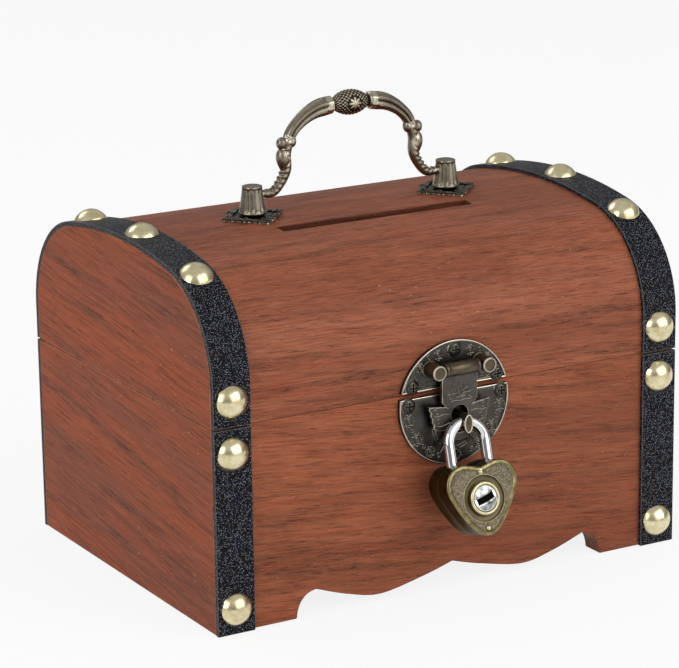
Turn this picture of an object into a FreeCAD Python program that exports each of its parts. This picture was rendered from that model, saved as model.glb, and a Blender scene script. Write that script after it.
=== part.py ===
import FreeCAD
import Part
import math
import os

V = FreeCAD.Vector

# Box, mm. +X is the box's right, the front faces -Y, +Z is up. Width and depth are printed in the photo.
BOX_W = 145.0
BOX_D = 105.0
SEAM_Z = 56.0
PANEL_T = 7.0
FLOOR_T = 4.0
FLOOR_Z = 9.0

# Scalloped lower edge of the front and back panels, half of it, from the middle out to the foot
APRON_PEAK_Z = 7.0
APRON_KNEE_X = 9.0
APRON_LOBE_X = 22.5
APRON_LOBE_Z = 2.0
APRON_SAG = 0.8
APRON_COVE_X = 42.5
APRON_COVE_Z = 7.2
APRON_BEND_IN = 1.5
APRON_BEND_Z = 4.68
APRON_FOOT_X = 48.4

# Domed lid: upright wall, then a corner arc, then a flat crown arc
LID_WALL_H = 10.4
LID_CORNER_R = 27.4
LID_CROWN_R = 160.0
LID_SKIN_T = 5.0
SLOT_L = 60.0
SLOT_W = 4.2
SLOT_Y = -13.7

# Leatherette straps and domed tacks
STRAP_W = 11.0
STRAP_T = 1.2
STRAP_GAP = 0.4
TACK_R = 4.6
TACK_H = 2.9
TACK_SHOULDER = (0.64, 0.68)
TACK_SKIRT = 0.6
TACK_SHANK_R = 0.7
TACK_SHANK_L = 7.0
TACK_INSET = 5.5
TACK_LOW_Z = 6.8
TACK_SEAM_OFFSET = 7.0
TACK_TOP_INSET = 21.0
TACK_TOP_SHIFT = -4.5

# Round latch plate, split at the seam; drops are measured down from the seam
LATCH_R = 17.0
LATCH_DROP = 3.6
LATCH_T = 1.2
LATCH_SPLIT = 0.8
LATCH_BEVEL = 0.3
LATCH_SCREW_R = 14.5
LOWER_SCREW_TURNS = (176, 270, 364)
UPPER_SCREW_TURNS = (24, 90, 156)
POST_X = 7.8
POST_R = 2.1
POST_L = 5.6
HASP_PIN_R = 1.0
HASP_PIN_L = 18.0
HASP_PIN_UP = 6.6
HASP_RUN = 0.08
HASP_T = 1.2
HASP_STAND_OFF = 1.5
HASP_W = 11.0
HASP_TUBE_R = 1.9
HASP_STRAP_DROP = 2.6
HASP_NECK = 1.2
HASP_WING_ROOT_DROP = 3.8
HASP_WING_TOP = (9.3, 3.2)
HASP_WING_LOW = (7.5, 10.0)
HASP_SCALLOPS = 4
HASP_SCALLOP_OUT = 0.35
HASP_TAIL_TOP = (4.6, 10.4)
HASP_TAIL_WAIST = (3.4, 12.4)
HASP_TAIL_TIP = (6.1, 16.2)
HASP_TAIL_BOW = 0.55
HASP_TAIL_CROTCH = (2.2, 13.1)
HASP_TAIL_DROP = 13.6
HASP_EYE_R = 2.6
HASP_EYE_DROP = 6.4
HASP_EYE_LOW_DROP = 11.4
HASP_SLOT_W = 4.16

# Staple on the lower plate, the eye that the shackle passes through
STAPLE_DROP = 8.0
STAPLE_W = 2.7
STAPLE_H = 5.2
STAPLE_L = 7.2
STAPLE_EYE_R = 1.75
STAPLE_EYE_OUT = 4.7
STAPLE_TENON_R = 1.1

# Screws
SCREW_HEAD_R = 2.2
SCREW_HEAD_H = 0.8
SCREW_SHOULDER = (0.72, 0.72)
SCREW_SHANK_R = 1.0
SCREW_SHANK_L = 5.0
CROSS_L = 2.6
CROSS_W = 0.55
CROSS_DEEP = 0.5
HINGE_SCREW_SCALE = 0.7

# Back hinges
HINGE_INSET = 34.5
HINGE_L = 16.0
HINGE_LEAF_H = 10.0
HINGE_LEAF_T = 1.0
KNUCKLE_R = 1.6
KNUCKLE_MID = 5.6
KNUCKLE_GAP = 0.25
HINGE_PIN_R = 0.8
HINGE_RUN = 0.08
HINGE_SCREW_X = 5.0
HINGE_SCREW_DZ = 6.2

# Bail handle
HANDLE_X = 31.0
ROSETTE_SIDE = 13.5
ROSETTE_T = 1.4
ROSETTE_NOTCH_R = 0.78
ROSETTE_NOTCH_OUT = 0.2
HANDLE_POST_BASE_R = 3.8
HANDLE_POST_TOP_R = 2.75
HANDLE_POST_H = 7.6
HANDLE_FLUTES = 10
FLUTE_R = 0.6
FLUTE_TOP_R = 0.42
FLUTE_MARGIN = 0.8
FLUTE_OUT = 0.15
BAIL_AXIS_UP = 6.2
BAIL_PIN_R = 1.1
BAIL_PIN_DEPTH = 1.6
BAIL_PIN_ROOT = 0.8
BAIL_RUN = 0.08
BAIL_H = 22.5
BAIL_BENDS = ((3.2, 0.5), (6.6, 5.6), (6.8, 11.2), (9.6, 17.2))
BAIL_SHOULDER = (10.5, 0.8)
BAIL_LEG_R = (1.35, 1.5, 1.7, 1.7, 1.6)
BAIL_LEG_END = 0.23
BAIL_SLEEVE_R = (1.6, 1.8, 2.1, 2.5, 2.8)
BAIL_SLEEVE_START = 0.24
BAIL_SLEEVE_END = 0.432
BAIL_KNOT_R = 1.9
BAIL_KNOTS = ((5.8, 10.6), (5.7, 13.5), (8.6, 14.0))
GRIP_L = 13.2
GRIP_R = 3.6
HANDLE_SCREW_R = 1.3
HANDLE_SCREW_IN = 3.6
HANDLE_SCREW_HEAD_R = 2.8
HANDLE_SCREW_HEAD_H = 1.8

# Padlock, in its own frame: origin in the middle of the shackle's bow, body below it
WIRE_R = 1.5
BOW_R = 5.6
LOCK_TILT = 15.5
LOCK_T = 10.2
LOCK_W = 21.8
LOCK_TOP = -5.4
LOCK_TIP = -24.9
HEART = ((0.0, 0.056), (0.28, 0.018), (0.53, 0.0), (0.8, 0.05), (0.97, 0.18), (1.0, 0.3), (0.92, 0.45),
         (0.62, 0.738), (0.3, 0.935))
LOCK_EDGE_R = 1.1
LOCK_FACE_SHRINK = 0.92
LOCK_FACE_DEEP = 0.45
LOCK_DISH_R = 6.2
LOCK_DISH_DEEP = 0.5
LEG_RUN = 0.1
TOE_END = -12.2
HEEL_END = -15.3
HEEL_BORE_END = -17.8
PLUG_Z = -15.0
PLUG_R = 3.4
PLUG_SHOULDER_R = 3.9
PLUG_RUN = 0.05
PLUG_PROUD = 0.2
PLUG_BACK = -0.85
PLUG_SHOULDER_T = 0.85
KEY_SLOT_L = 5.4
KEY_SLOT_W = 1.7
KEY_SLOT_DEEP = 2.0
KEY_SLOT_LEAN = 17.0
BEZEL_R = 4.55
BEZEL_PROUD = 0.6
BEZEL_SEAT = 1.3
CAM_R = 2.0
CAM_START = 135.0
CAM_PIN_R = 0.6
BOLT_T = 1.3
BOLT_H = 1.1
BOLT_TOP = -9.2
BOLT_TIP_X = -4.8
BOLT_TAIL_X = 0.3
BOLT_ARM_W = 3.0
BOLT_ARM_LOW = -14.4
BOLT_RUN = 0.1
NOTCH_DEEP = 0.9
RAMP_END_DEEP = 0.15
RIVET_R = 0.55
RIVET_HEAD_R = 0.75
RIVET_Z = (-7.95, -23.0)
SPRING_WIRE_R = 0.25
SPRING_R = 1.1
SPRING_TURNS = 3

# Worked out from the values above
HALF_W = BOX_W / 2
HALF_D = BOX_D / 2
LID_CORNER_Y = HALF_D - LID_CORNER_R
LID_SPRING_Z = SEAM_Z + LID_WALL_H
CROWN_Z = LID_SPRING_Z - math.sqrt((LID_CROWN_R - LID_CORNER_R) ** 2 - LID_CORNER_Y ** 2)
LID_TOP_Z = CROWN_Z + LID_CROWN_R
TACK_X = HALF_W - TACK_INSET
TACK_TOP_Y = HALF_D - TACK_TOP_INSET
LATCH_Z = SEAM_Z - LATCH_DROP
PLATE_FRONT = -HALF_D - LATCH_T
HASP_BACK = PLATE_FRONT - HASP_STAND_OFF
HASP_PIN_Y = HASP_BACK - HASP_TUBE_R
HASP_PIN_Z = SEAM_Z + HASP_PIN_UP
HASP_EYE_Z = SEAM_Z - HASP_EYE_DROP
STAPLE_EYE_Y = PLATE_FRONT - STAPLE_EYE_OUT
STAPLE_Z = SEAM_Z - STAPLE_DROP
HINGE_X = HALF_W - HINGE_INSET
HINGE_Y = HALF_D + KNUCKLE_R
BAIL_AXIS_Z = LID_TOP_Z + BAIL_AXIS_UP
BAIL_TIP_X = HANDLE_X - HANDLE_POST_BASE_R
BOLT_TRAVEL = 2 * CAM_R * math.cos(math.radians(180.0 - CAM_START))


def block(x0, x1, y0, y1, z0, z1):
    """Box between two corners."""
    return Part.makeBox(x1 - x0, y1 - y0, z1 - z0, V(x0, y0, z0))


def rod(radius, start, end):
    """Round bar from one point to another."""
    run = end - start
    return Part.makeCylinder(radius, run.Length, start, run)


def stood_on(shape, point, normal):
    """Copy of a shape made along +Z, stood at a point along a normal."""
    turned = shape.copy()
    turned.Placement = FreeCAD.Placement(point, FreeCAD.Rotation(V(0, 0, 1), normal))
    return turned


def fused(shapes):
    """One solid from touching shapes."""
    return shapes[0].multiFuse(shapes[1:]).removeSplitter()


def group(shapes):
    """Separate solids that share one node."""
    return Part.makeCompound(shapes)


def cut_all(shape, tools):
    """Shape with every tool taken away."""
    return shape.cut(tools)


def flat_prism(edges, run):
    """Solid from closed edges, pushed along a run."""
    return Part.Face(Part.Wire(Part.__sortEdges__(edges))).extrude(run)


def spline(points):
    """Smooth edge through points."""
    curve = Part.BSplineCurve()
    curve.interpolate(points)
    return curve.toShape()


def mirrored_x(shape):
    """Copy on the other side of the middle plane."""
    return shape.mirror(V(0, 0, 0), V(1, 0, 0))


def panel_with_apron(y0):
    """Front or back panel with its scalloped lower edge and two feet."""
    in_x = HALF_W - PANEL_T
    rim = [
        V(0, 0, APRON_PEAK_Z),
        V(APRON_KNEE_X, 0, (APRON_PEAK_Z + APRON_LOBE_Z) / 2),
        V(APRON_LOBE_X, 0, APRON_LOBE_Z),
        V((APRON_LOBE_X + APRON_COVE_X) / 2, 0, (APRON_LOBE_Z + APRON_COVE_Z) / 2 - APRON_SAG),
        V(APRON_COVE_X, 0, APRON_COVE_Z),
        V(APRON_FOOT_X, 0, 0),
    ]
    bend = V(APRON_FOOT_X - APRON_BEND_IN, 0, APRON_BEND_Z)
    half = [spline(rim[:5]), Part.Arc(rim[4], bend, rim[5]).toShape()]
    half.append(Part.makeLine(rim[5], V(0, 0, 0)))
    half.append(Part.makeLine(V(0, 0, 0), rim[0]))
    gap = flat_prism(half, V(0, PANEL_T, 0))
    gap.translate(V(0, y0, 0))
    board = block(-in_x, in_x, y0, y0 + PANEL_T, 0, SEAM_Z)
    return cut_all(board, [gap, mirrored_x(gap)])


def lid_profile(grow):
    """Closed lid outline in the YZ plane, grown outward by a distance."""
    half = HALF_D + grow
    corner = LID_CORNER_R + grow
    lean = math.atan2(LID_SPRING_Z - CROWN_Z, LID_CORNER_Y)
    edges = [Part.makeLine(V(0, -half, SEAM_Z), V(0, half, SEAM_Z))]
    tips = []
    for side in (-1, 1):
        foot = V(0, side * half, SEAM_Z)
        spring = V(0, side * half, LID_SPRING_Z)
        middle, tip = [V(0, side * (LID_CORNER_Y + corner * math.cos(turn)),
                         LID_SPRING_Z + corner * math.sin(turn)) for turn in (lean / 2, lean)]
        edges.append(Part.makeLine(foot, spring))
        edges.append(Part.Arc(spring, middle, tip).toShape())
        tips.append(tip)
    edges.append(Part.Arc(tips[0], V(0, 0, LID_TOP_Z + grow), tips[1]).toShape())
    return edges


def lid_prism(grow, x0, x1):
    """Lid outline pushed from one X to another."""
    solid = flat_prism(lid_profile(grow), V(x1 - x0, 0, 0))
    solid.translate(V(x0, 0, 0))
    return solid


def dome_point(x, y, grow):
    """Point and outward normal on the lid's crown, or past it on a corner."""
    middle = V(x, 0, CROWN_Z)
    radius = LID_CROWN_R
    if abs(y) > LID_CORNER_Y * LID_CROWN_R / (LID_CROWN_R - LID_CORNER_R):
        middle = V(x, math.copysign(LID_CORNER_Y, y), LID_SPRING_Z)
        radius = LID_CORNER_R
    run = y - middle.y
    normal = V(0, run, math.sqrt((radius + grow) ** 2 - run ** 2))
    return middle + normal, normal


def tack():
    """Domed tack along +Z, its seat at zero, with a skirt that is trimmed to the strap."""
    shoulder = V(TACK_R * TACK_SHOULDER[0], 0, TACK_H * TACK_SHOULDER[1])
    edges = [
        Part.makeLine(V(0, 0, -TACK_SKIRT), V(TACK_R, 0, -TACK_SKIRT)),
        Part.makeLine(V(TACK_R, 0, -TACK_SKIRT), V(TACK_R, 0, 0)),
        Part.Arc(V(TACK_R, 0, 0), shoulder, V(0, 0, TACK_H)).toShape(),
        Part.makeLine(V(0, 0, TACK_H), V(0, 0, -TACK_SKIRT)),
    ]
    face = Part.Face(Part.Wire(edges))
    return face.revolve(V(0, 0, 0), V(0, 0, 1), 360)


def tack_shank():
    """Nail of a tack along -Z, through the strap into the wood."""
    return Part.makeCylinder(TACK_SHANK_R, TACK_SHANK_L, V(0, 0, -TACK_SHANK_L))


def tack_places(side):
    """Point and normal of each tack on one end's straps, box tacks first, then lid tacks."""
    x = side * TACK_X
    out = HALF_D + STRAP_T
    box = []
    lid = []
    for facing in (-1, 1):
        normal = V(0, facing, 0)
        box.append((V(x, facing * out, TACK_LOW_Z), normal))
        box.append((V(x, facing * out, SEAM_Z - TACK_SEAM_OFFSET), normal))
        lid.append((V(x, facing * out, SEAM_Z + TACK_SEAM_OFFSET), normal))
    for y in (-TACK_TOP_Y, 0, TACK_TOP_Y):
        lid.append(dome_point(x, y + TACK_TOP_SHIFT, STRAP_T))
    return box, lid


def strap_wrap(x0, x1):
    """Lid strap, from seam to seam over the dome."""
    wrap = lid_prism(STRAP_T, x0, x1).cut(lid_prism(0, x0, x1))
    return wrap.cut(block(x0, x1, -BOX_D, BOX_D, SEAM_Z, SEAM_Z + STRAP_GAP))


def screw(scale, shank_length):
    """Round-headed cross-slot screw along +Z, the seat of its head at zero."""
    radius = SCREW_HEAD_R * scale
    height = SCREW_HEAD_H * scale
    shoulder = V(radius * SCREW_SHOULDER[0], 0, height * SCREW_SHOULDER[1])
    edges = [
        Part.makeLine(V(0, 0, 0), V(radius, 0, 0)),
        Part.Arc(V(radius, 0, 0), shoulder, V(0, 0, height)).toShape(),
        Part.makeLine(V(0, 0, height), V(0, 0, 0)),
    ]
    head = Part.Face(Part.Wire(edges)).revolve(V(0, 0, 0), V(0, 0, 1), 360)
    arm = CROSS_L * scale / 2
    width = CROSS_W * scale / 2
    low = height - CROSS_DEEP * scale
    top = 2 * height
    cross = fused([block(-arm, arm, -width, width, low, top), block(-width, width, -arm, arm, low, top)])
    head = head.cut(cross)
    shank = screw_shank(scale, shank_length)
    return fused([head, shank])


def screw_shank(scale, shank_length):
    """Shank alone, used to bore its own hole."""
    return Part.makeCylinder(SCREW_SHANK_R * scale, shank_length, V(0, 0, -shank_length))


def latch_screw_places():
    """Screw seats on the lower plate, then on the upper plate."""
    lower = []
    upper = []
    for turn in LOWER_SCREW_TURNS:
        lower.append(latch_point(turn))
    for turn in UPPER_SCREW_TURNS:
        upper.append(latch_point(turn))
    return lower, upper


def latch_point(turn):
    """Seat on the latch plate's screw circle."""
    angle = math.radians(turn)
    x = LATCH_SCREW_R * math.cos(angle)
    return V(x, PLATE_FRONT, LATCH_Z + LATCH_SCREW_R * math.sin(angle)), V(0, -1, 0)


def latch_disc():
    """Round plate outline as a deep plug through the front."""
    return rod(LATCH_R, V(0, -HALF_D - LATCH_T, LATCH_Z), V(0, -LID_CORNER_Y, LATCH_Z))


def lower_plate():
    """Lower part of the latch plate, flat on the front panel."""
    disc = rod(LATCH_R, V(0, PLATE_FRONT, LATCH_Z), V(0, -HALF_D, LATCH_Z))
    plate = disc.cut(block(-BOX_W, BOX_W, -BOX_D, 0, SEAM_Z - LATCH_SPLIT, BOX_W))
    rim = [edge for edge in plate.Edges if edge.BoundBox.YMax < PLATE_FRONT + LATCH_BEVEL]
    plate = plate.makeChamfer(LATCH_BEVEL, rim)
    return plate.cut(rod(STAPLE_TENON_R, V(0, PLATE_FRONT, STAPLE_Z), V(0, -HALF_D, STAPLE_Z)))


def upper_plate():
    """Upper part of the latch plate, bent to the lid, with the two posts of the hasp."""
    shell = lid_prism(LATCH_T, -LATCH_R, LATCH_R).cut(lid_prism(0, -LATCH_R, LATCH_R))
    plate = shell.common(latch_disc())
    plate = plate.cut(block(-BOX_W, BOX_W, -BOX_D, 0, 0, SEAM_Z + LATCH_SPLIT))
    posts = []
    for side in (-1, 1):
        start = V(side * POST_X, -HALF_D - LATCH_T / 2, HASP_PIN_Z)
        post = rod(POST_R, start, V(side * POST_X, PLATE_FRONT - POST_L, HASP_PIN_Z))
        rim = [edge for edge in post.Edges if edge.BoundBox.YMax < PLATE_FRONT - POST_L + LATCH_BEVEL]
        posts.append(post.makeChamfer(LATCH_BEVEL, rim))
    return fused([plate] + posts).cut(hasp_pin())


def hasp_pin():
    """Pin from post to post."""
    half = HASP_PIN_L / 2
    return rod(HASP_PIN_R, V(-half, HASP_PIN_Y, HASP_PIN_Z), V(half, HASP_PIN_Y, HASP_PIN_Z))


def hasp_outline():
    """Right half of the hasp's outline: strap, scalloped wing and ribbon tail."""
    half = HASP_W / 2
    top, low, root, waist, tip, crotch = [V(x, 0, SEAM_Z - drop) for x, drop in (
        HASP_WING_TOP, HASP_WING_LOW, HASP_TAIL_TOP, HASP_TAIL_WAIST, HASP_TAIL_TIP, HASP_TAIL_CROTCH)]
    pin = V(0, 0, HASP_PIN_Z)
    foot = V(0, 0, SEAM_Z - HASP_TAIL_DROP)
    corners = [pin, pin + V(half, 0, 0), V(half, 0, SEAM_Z - HASP_STRAP_DROP),
               V(half - HASP_NECK, 0, SEAM_Z - HASP_WING_ROOT_DROP), top]
    edges = [Part.makeLine(a, b) for a, b in zip(corners, corners[1:])]
    step = (low - top) / HASP_SCALLOPS
    for number in range(HASP_SCALLOPS):
        start = top + step * number
        middle = start + step / 2 + V(HASP_SCALLOP_OUT, 0, 0)
        edges.append(Part.Arc(start, middle, start + step).toShape())
    bow = V(HASP_TAIL_BOW, 0, 0)
    edges.append(Part.makeLine(low, root))
    edges.append(Part.Arc(root, (root + waist) / 2 - bow / 2, waist).toShape())
    edges.append(Part.Arc(waist, (waist + tip) / 2 + bow / 2, tip).toShape())
    edges.append(Part.Arc(tip, (tip + crotch) / 2 + bow / 4, crotch).toShape())
    edges.append(Part.makeLine(crotch, foot))
    edges.append(Part.makeLine(foot, pin))
    return edges


def hasp():
    """Hasp: rolled knuckle, strap, two leaf wings, keyhole and a two-tailed foot."""
    half = HASP_W / 2
    leaf = flat_prism(hasp_outline(), V(0, -HASP_T, 0))
    leaf.translate(V(0, HASP_BACK, 0))
    tube = rod(HASP_TUBE_R, V(-half, HASP_PIN_Y, HASP_PIN_Z), V(half, HASP_PIN_Y, HASP_PIN_Z))
    solid = fused([leaf, mirrored_x(leaf), tube])
    front = HASP_BACK - HASP_T
    eye = rod(HASP_EYE_R, V(0, front, HASP_EYE_Z), V(0, HASP_BACK, HASP_EYE_Z))
    slot_half = HASP_SLOT_W / 2
    slot = block(-slot_half, slot_half, front, HASP_BACK, SEAM_Z - HASP_EYE_LOW_DROP, HASP_EYE_Z)
    bore = rod(HASP_PIN_R + HASP_RUN, V(-half, HASP_PIN_Y, HASP_PIN_Z), V(half, HASP_PIN_Y, HASP_PIN_Z))
    return cut_all(solid, [fused([eye, slot]), bore])


def staple():
    """Oval eye that stands out of the lower plate, riveted through it."""
    start = V(0, PLATE_FRONT, STAPLE_Z)
    oval = Part.Ellipse(start + V(0, 0, STAPLE_H / 2), start + V(STAPLE_W / 2, 0, 0), start)
    bar = flat_prism([oval.toShape()], V(0, -STAPLE_L, 0))
    tenon = rod(STAPLE_TENON_R, start, V(0, -HALF_D, STAPLE_Z))
    eye = rod(STAPLE_EYE_R, V(-STAPLE_W, STAPLE_EYE_Y, STAPLE_Z), V(STAPLE_W, STAPLE_EYE_Y, STAPLE_Z))
    return fused([bar, tenon]).cut(eye)


def hinge_knuckle(x0, x1, bore):
    """One knuckle of a hinge barrel, bored for the pin."""
    outer = rod(KNUCKLE_R, V(x0, HINGE_Y, SEAM_Z), V(x1, HINGE_Y, SEAM_Z))
    return outer, rod(bore, V(x0, HINGE_Y, SEAM_Z), V(x1, HINGE_Y, SEAM_Z))


def hinge_leaves(x):
    """Box leaf with the two outer knuckles, lid leaf with the middle one, and the pin."""
    end = HINGE_L / 2
    middle = KNUCKLE_MID / 2
    near = middle + KNUCKLE_GAP
    clear = KNUCKLE_R + KNUCKLE_GAP
    low = block(-end, end, HALF_D, HALF_D + HINGE_LEAF_T, SEAM_Z - HINGE_LEAF_H, SEAM_Z)
    high = block(-end, end, HALF_D, HALF_D + HINGE_LEAF_T, SEAM_Z, SEAM_Z + HINGE_LEAF_H)
    way = rod(clear, V(-near, HINGE_Y, SEAM_Z), V(near, HINGE_Y, SEAM_Z))
    sides = ((-end, -middle), (middle, end))
    ways = [rod(clear, V(a, HINGE_Y, SEAM_Z), V(b, HINGE_Y, SEAM_Z)) for a, b in sides]
    left, left_bore = hinge_knuckle(-end, -near, HINGE_PIN_R)
    right, right_bore = hinge_knuckle(near, end, HINGE_PIN_R)
    mid, mid_bore = hinge_knuckle(-middle, middle, HINGE_PIN_R + HINGE_RUN)
    box_leaf = cut_all(fused([low.cut(way), left, right]), [left_bore, right_bore])
    lid_leaf = fused([cut_all(high, ways), mid]).cut(mid_bore)
    pin = rod(HINGE_PIN_R, V(-end, HINGE_Y, SEAM_Z), V(end, HINGE_Y, SEAM_Z))
    for shape in (box_leaf, lid_leaf, pin):
        shape.translate(V(x, 0, 0))
    return box_leaf, lid_leaf, pin


def hinge_screw_places(facing):
    """Screw seats on the box leaves (facing -1) or the lid leaves (facing 1)."""
    places = []
    for x in (-HINGE_X, HINGE_X):
        for dx in (-HINGE_SCREW_X, HINGE_SCREW_X):
            places.append((V(x + dx, HALF_D + HINGE_LEAF_T, SEAM_Z + facing * HINGE_SCREW_DZ), V(0, 1, 0)))
    return places


def rosette(x):
    """Square base plate set cornerwise, its edges notched, bedded on the crown."""
    half = ROSETTE_SIDE / 2
    plate = block(-half, half, -half, half, -ROSETTE_T, ROSETTE_T)
    notches = []
    for turn in range(4):
        for along in (-half / 2, 0, half / 2):
            foot = V(half + ROSETTE_NOTCH_OUT, along, -2 * ROSETTE_T)
            notch = Part.makeCylinder(ROSETTE_NOTCH_R, 4 * ROSETTE_T, foot)
            notch.rotate(V(0, 0, 0), V(0, 0, 1), 90 * turn)
            notches.append(notch)
    plate = cut_all(plate, notches)
    plate.rotate(V(0, 0, 0), V(0, 0, 1), 45)
    plate.translate(V(x, 0, LID_TOP_Z))
    return plate.cut(lid_prism(0, x - ROSETTE_SIDE, x + ROSETTE_SIDE))


def handle_post(x):
    """Fluted tapered post, bored for the bail and for its screw."""
    base = LID_TOP_Z + ROSETTE_T
    cone = Part.makeCone(HANDLE_POST_BASE_R, HANDLE_POST_TOP_R, HANDLE_POST_H, V(0, 0, base))
    flutes = []
    taper = math.degrees(math.atan2(HANDLE_POST_BASE_R - HANDLE_POST_TOP_R, HANDLE_POST_H))
    for number in range(HANDLE_FLUTES):
        flute = Part.makeCone(FLUTE_R, FLUTE_TOP_R, HANDLE_POST_H - 2 * FLUTE_MARGIN)
        flute.rotate(V(0, 0, 0), V(0, 1, 0), -taper)
        flute.translate(V(HANDLE_POST_BASE_R + FLUTE_OUT, 0, base + FLUTE_MARGIN))
        flute.rotate(V(0, 0, 0), V(0, 0, 1), 360.0 * (number + 0.5) / HANDLE_FLUTES)
        flutes.append(flute)
    cone = cut_all(cone, flutes)
    cone.translate(V(x, 0, 0))
    side = 1 if x > 0 else -1
    bore_end = x + side * (BAIL_PIN_DEPTH - BAIL_RUN * 2)
    mouth = V(x - side * 2 * HANDLE_POST_BASE_R, 0, BAIL_AXIS_Z)
    bore = rod(BAIL_PIN_R + BAIL_RUN, mouth, V(bore_end, 0, BAIL_AXIS_Z))
    return cut_all(cone, [bore, handle_screw_shank(x)])


def handle_screw_shank(x):
    """Shank of a handle screw, up through the skin and rosette into the post."""
    low = LID_TOP_Z - LID_SKIN_T - HANDLE_SCREW_HEAD_H / 2
    return rod(HANDLE_SCREW_R, V(x, 0, low), V(x, 0, LID_TOP_Z + ROSETTE_T + HANDLE_SCREW_IN))


def handle_screw(x):
    """Screw that holds a post from inside the lid, its head bedded to the skin."""
    low = LID_TOP_Z - LID_SKIN_T
    wide = HANDLE_SCREW_HEAD_R * 2
    head = rod(HANDLE_SCREW_HEAD_R, V(x, 0, low - HANDLE_SCREW_HEAD_H), V(x, 0, low + LID_SKIN_T / 2))
    head = head.cut(lid_prism(0, x - wide, x + wide).cut(lid_prism(-LID_SKIN_T, x - wide, x + wide)))
    arm = CROSS_L / 2
    width = CROSS_W / 2
    z0 = low - HANDLE_SCREW_HEAD_H
    z1 = z0 + CROSS_DEEP
    arms = [block(x - arm, x + arm, -width, width, z0, z1), block(x - width, x + width, -arm, arm, z0, z1)]
    return fused([cut_all(head, arms), handle_screw_shank(x)])


def bail_path():
    """Middle line of the bail, from its left pin to its right one, with zero at the pins' height."""
    left = [V(-BAIL_TIP_X, 0, 0)] + [V(inward - BAIL_TIP_X, 0, up) for inward, up in BAIL_BENDS]
    left.append(V(-BAIL_SHOULDER[0], 0, BAIL_H - BAIL_SHOULDER[1]))
    curve = Part.BSplineCurve()
    curve.interpolate(left + [V(0, 0, BAIL_H)] + [V(-p.x, 0, p.z) for p in reversed(left)])
    return curve


def limb(curve, start, end, radii):
    """Round limb lofted along part of the path, through evenly spaced rings."""
    rings = []
    length = curve.length()
    for number, radius in enumerate(radii):
        at = start + (end - start) * number / (len(radii) - 1)
        along = curve.parameterAtDistance(at * length)
        tangent = curve.tangent(along)[0]
        turn = math.degrees(math.atan2(tangent.x, tangent.z))
        ring = Part.Wire(Part.Circle(V(0, 0, 0), V(0, 0, 1), radius).toShape())
        ring.Placement = FreeCAD.Placement(curve.value(along), FreeCAD.Rotation(V(0, 1, 0), turn))
        rings.append(ring)
    return Part.makeLoft(rings, True)


def bail():
    """Cast bail: curved legs with pins, three-lobed knots, swelling sleeves and an oval grip."""
    curve = bail_path()
    pin_end = V(-HANDLE_X - BAIL_PIN_DEPTH + BAIL_RUN * 4, 0, 0)
    half = [
        limb(curve, 0.0, BAIL_LEG_END, BAIL_LEG_R),
        limb(curve, BAIL_SLEEVE_START, BAIL_SLEEVE_END, BAIL_SLEEVE_R),
        rod(BAIL_PIN_R, V(BAIL_PIN_ROOT - BAIL_TIP_X, 0, 0), pin_end),
    ]
    for inward, up in BAIL_KNOTS:
        half.append(Part.makeSphere(BAIL_KNOT_R, V(inward - BAIL_TIP_X, 0, up)))
    end = GRIP_L / 2
    arc = Part.Arc(V(-end, 0, BAIL_H), V(0, 0, BAIL_H + GRIP_R), V(end, 0, BAIL_H)).toShape()
    outline = Part.Wire([arc, Part.makeLine(V(end, 0, BAIL_H), V(-end, 0, BAIL_H))])
    grip = Part.Face(outline).revolve(V(0, 0, BAIL_H), V(1, 0, 0), 360)
    solid = grip.multiFuse(half + [mirrored_x(shape) for shape in half])
    solid.translate(V(0, 0, BAIL_AXIS_Z))
    return solid


def heart_edges(scale):
    """Heart outline in the padlock's XZ plane, shrunk about the plug."""
    half = LOCK_W / 2
    deep = LOCK_TIP - LOCK_TOP
    right = [V(x * half * scale, 0, PLUG_Z + (LOCK_TOP + z * deep - PLUG_Z) * scale) for x, z in HEART]
    tip = V(0, 0, PLUG_Z + (LOCK_TIP - PLUG_Z) * scale)
    outline = right + [tip] + [V(-p.x, 0, p.z) for p in reversed(right[1:])]
    curve = Part.BSplineCurve()
    curve.interpolate(outline, PeriodicFlag=True)
    return [curve.toShape()]


def cam_point(turn):
    """Middle of the cam pin after the plug has turned."""
    angle = math.radians(CAM_START - turn)
    return V(CAM_R * math.cos(angle), 0, PLUG_Z + CAM_R * math.sin(angle))


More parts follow.
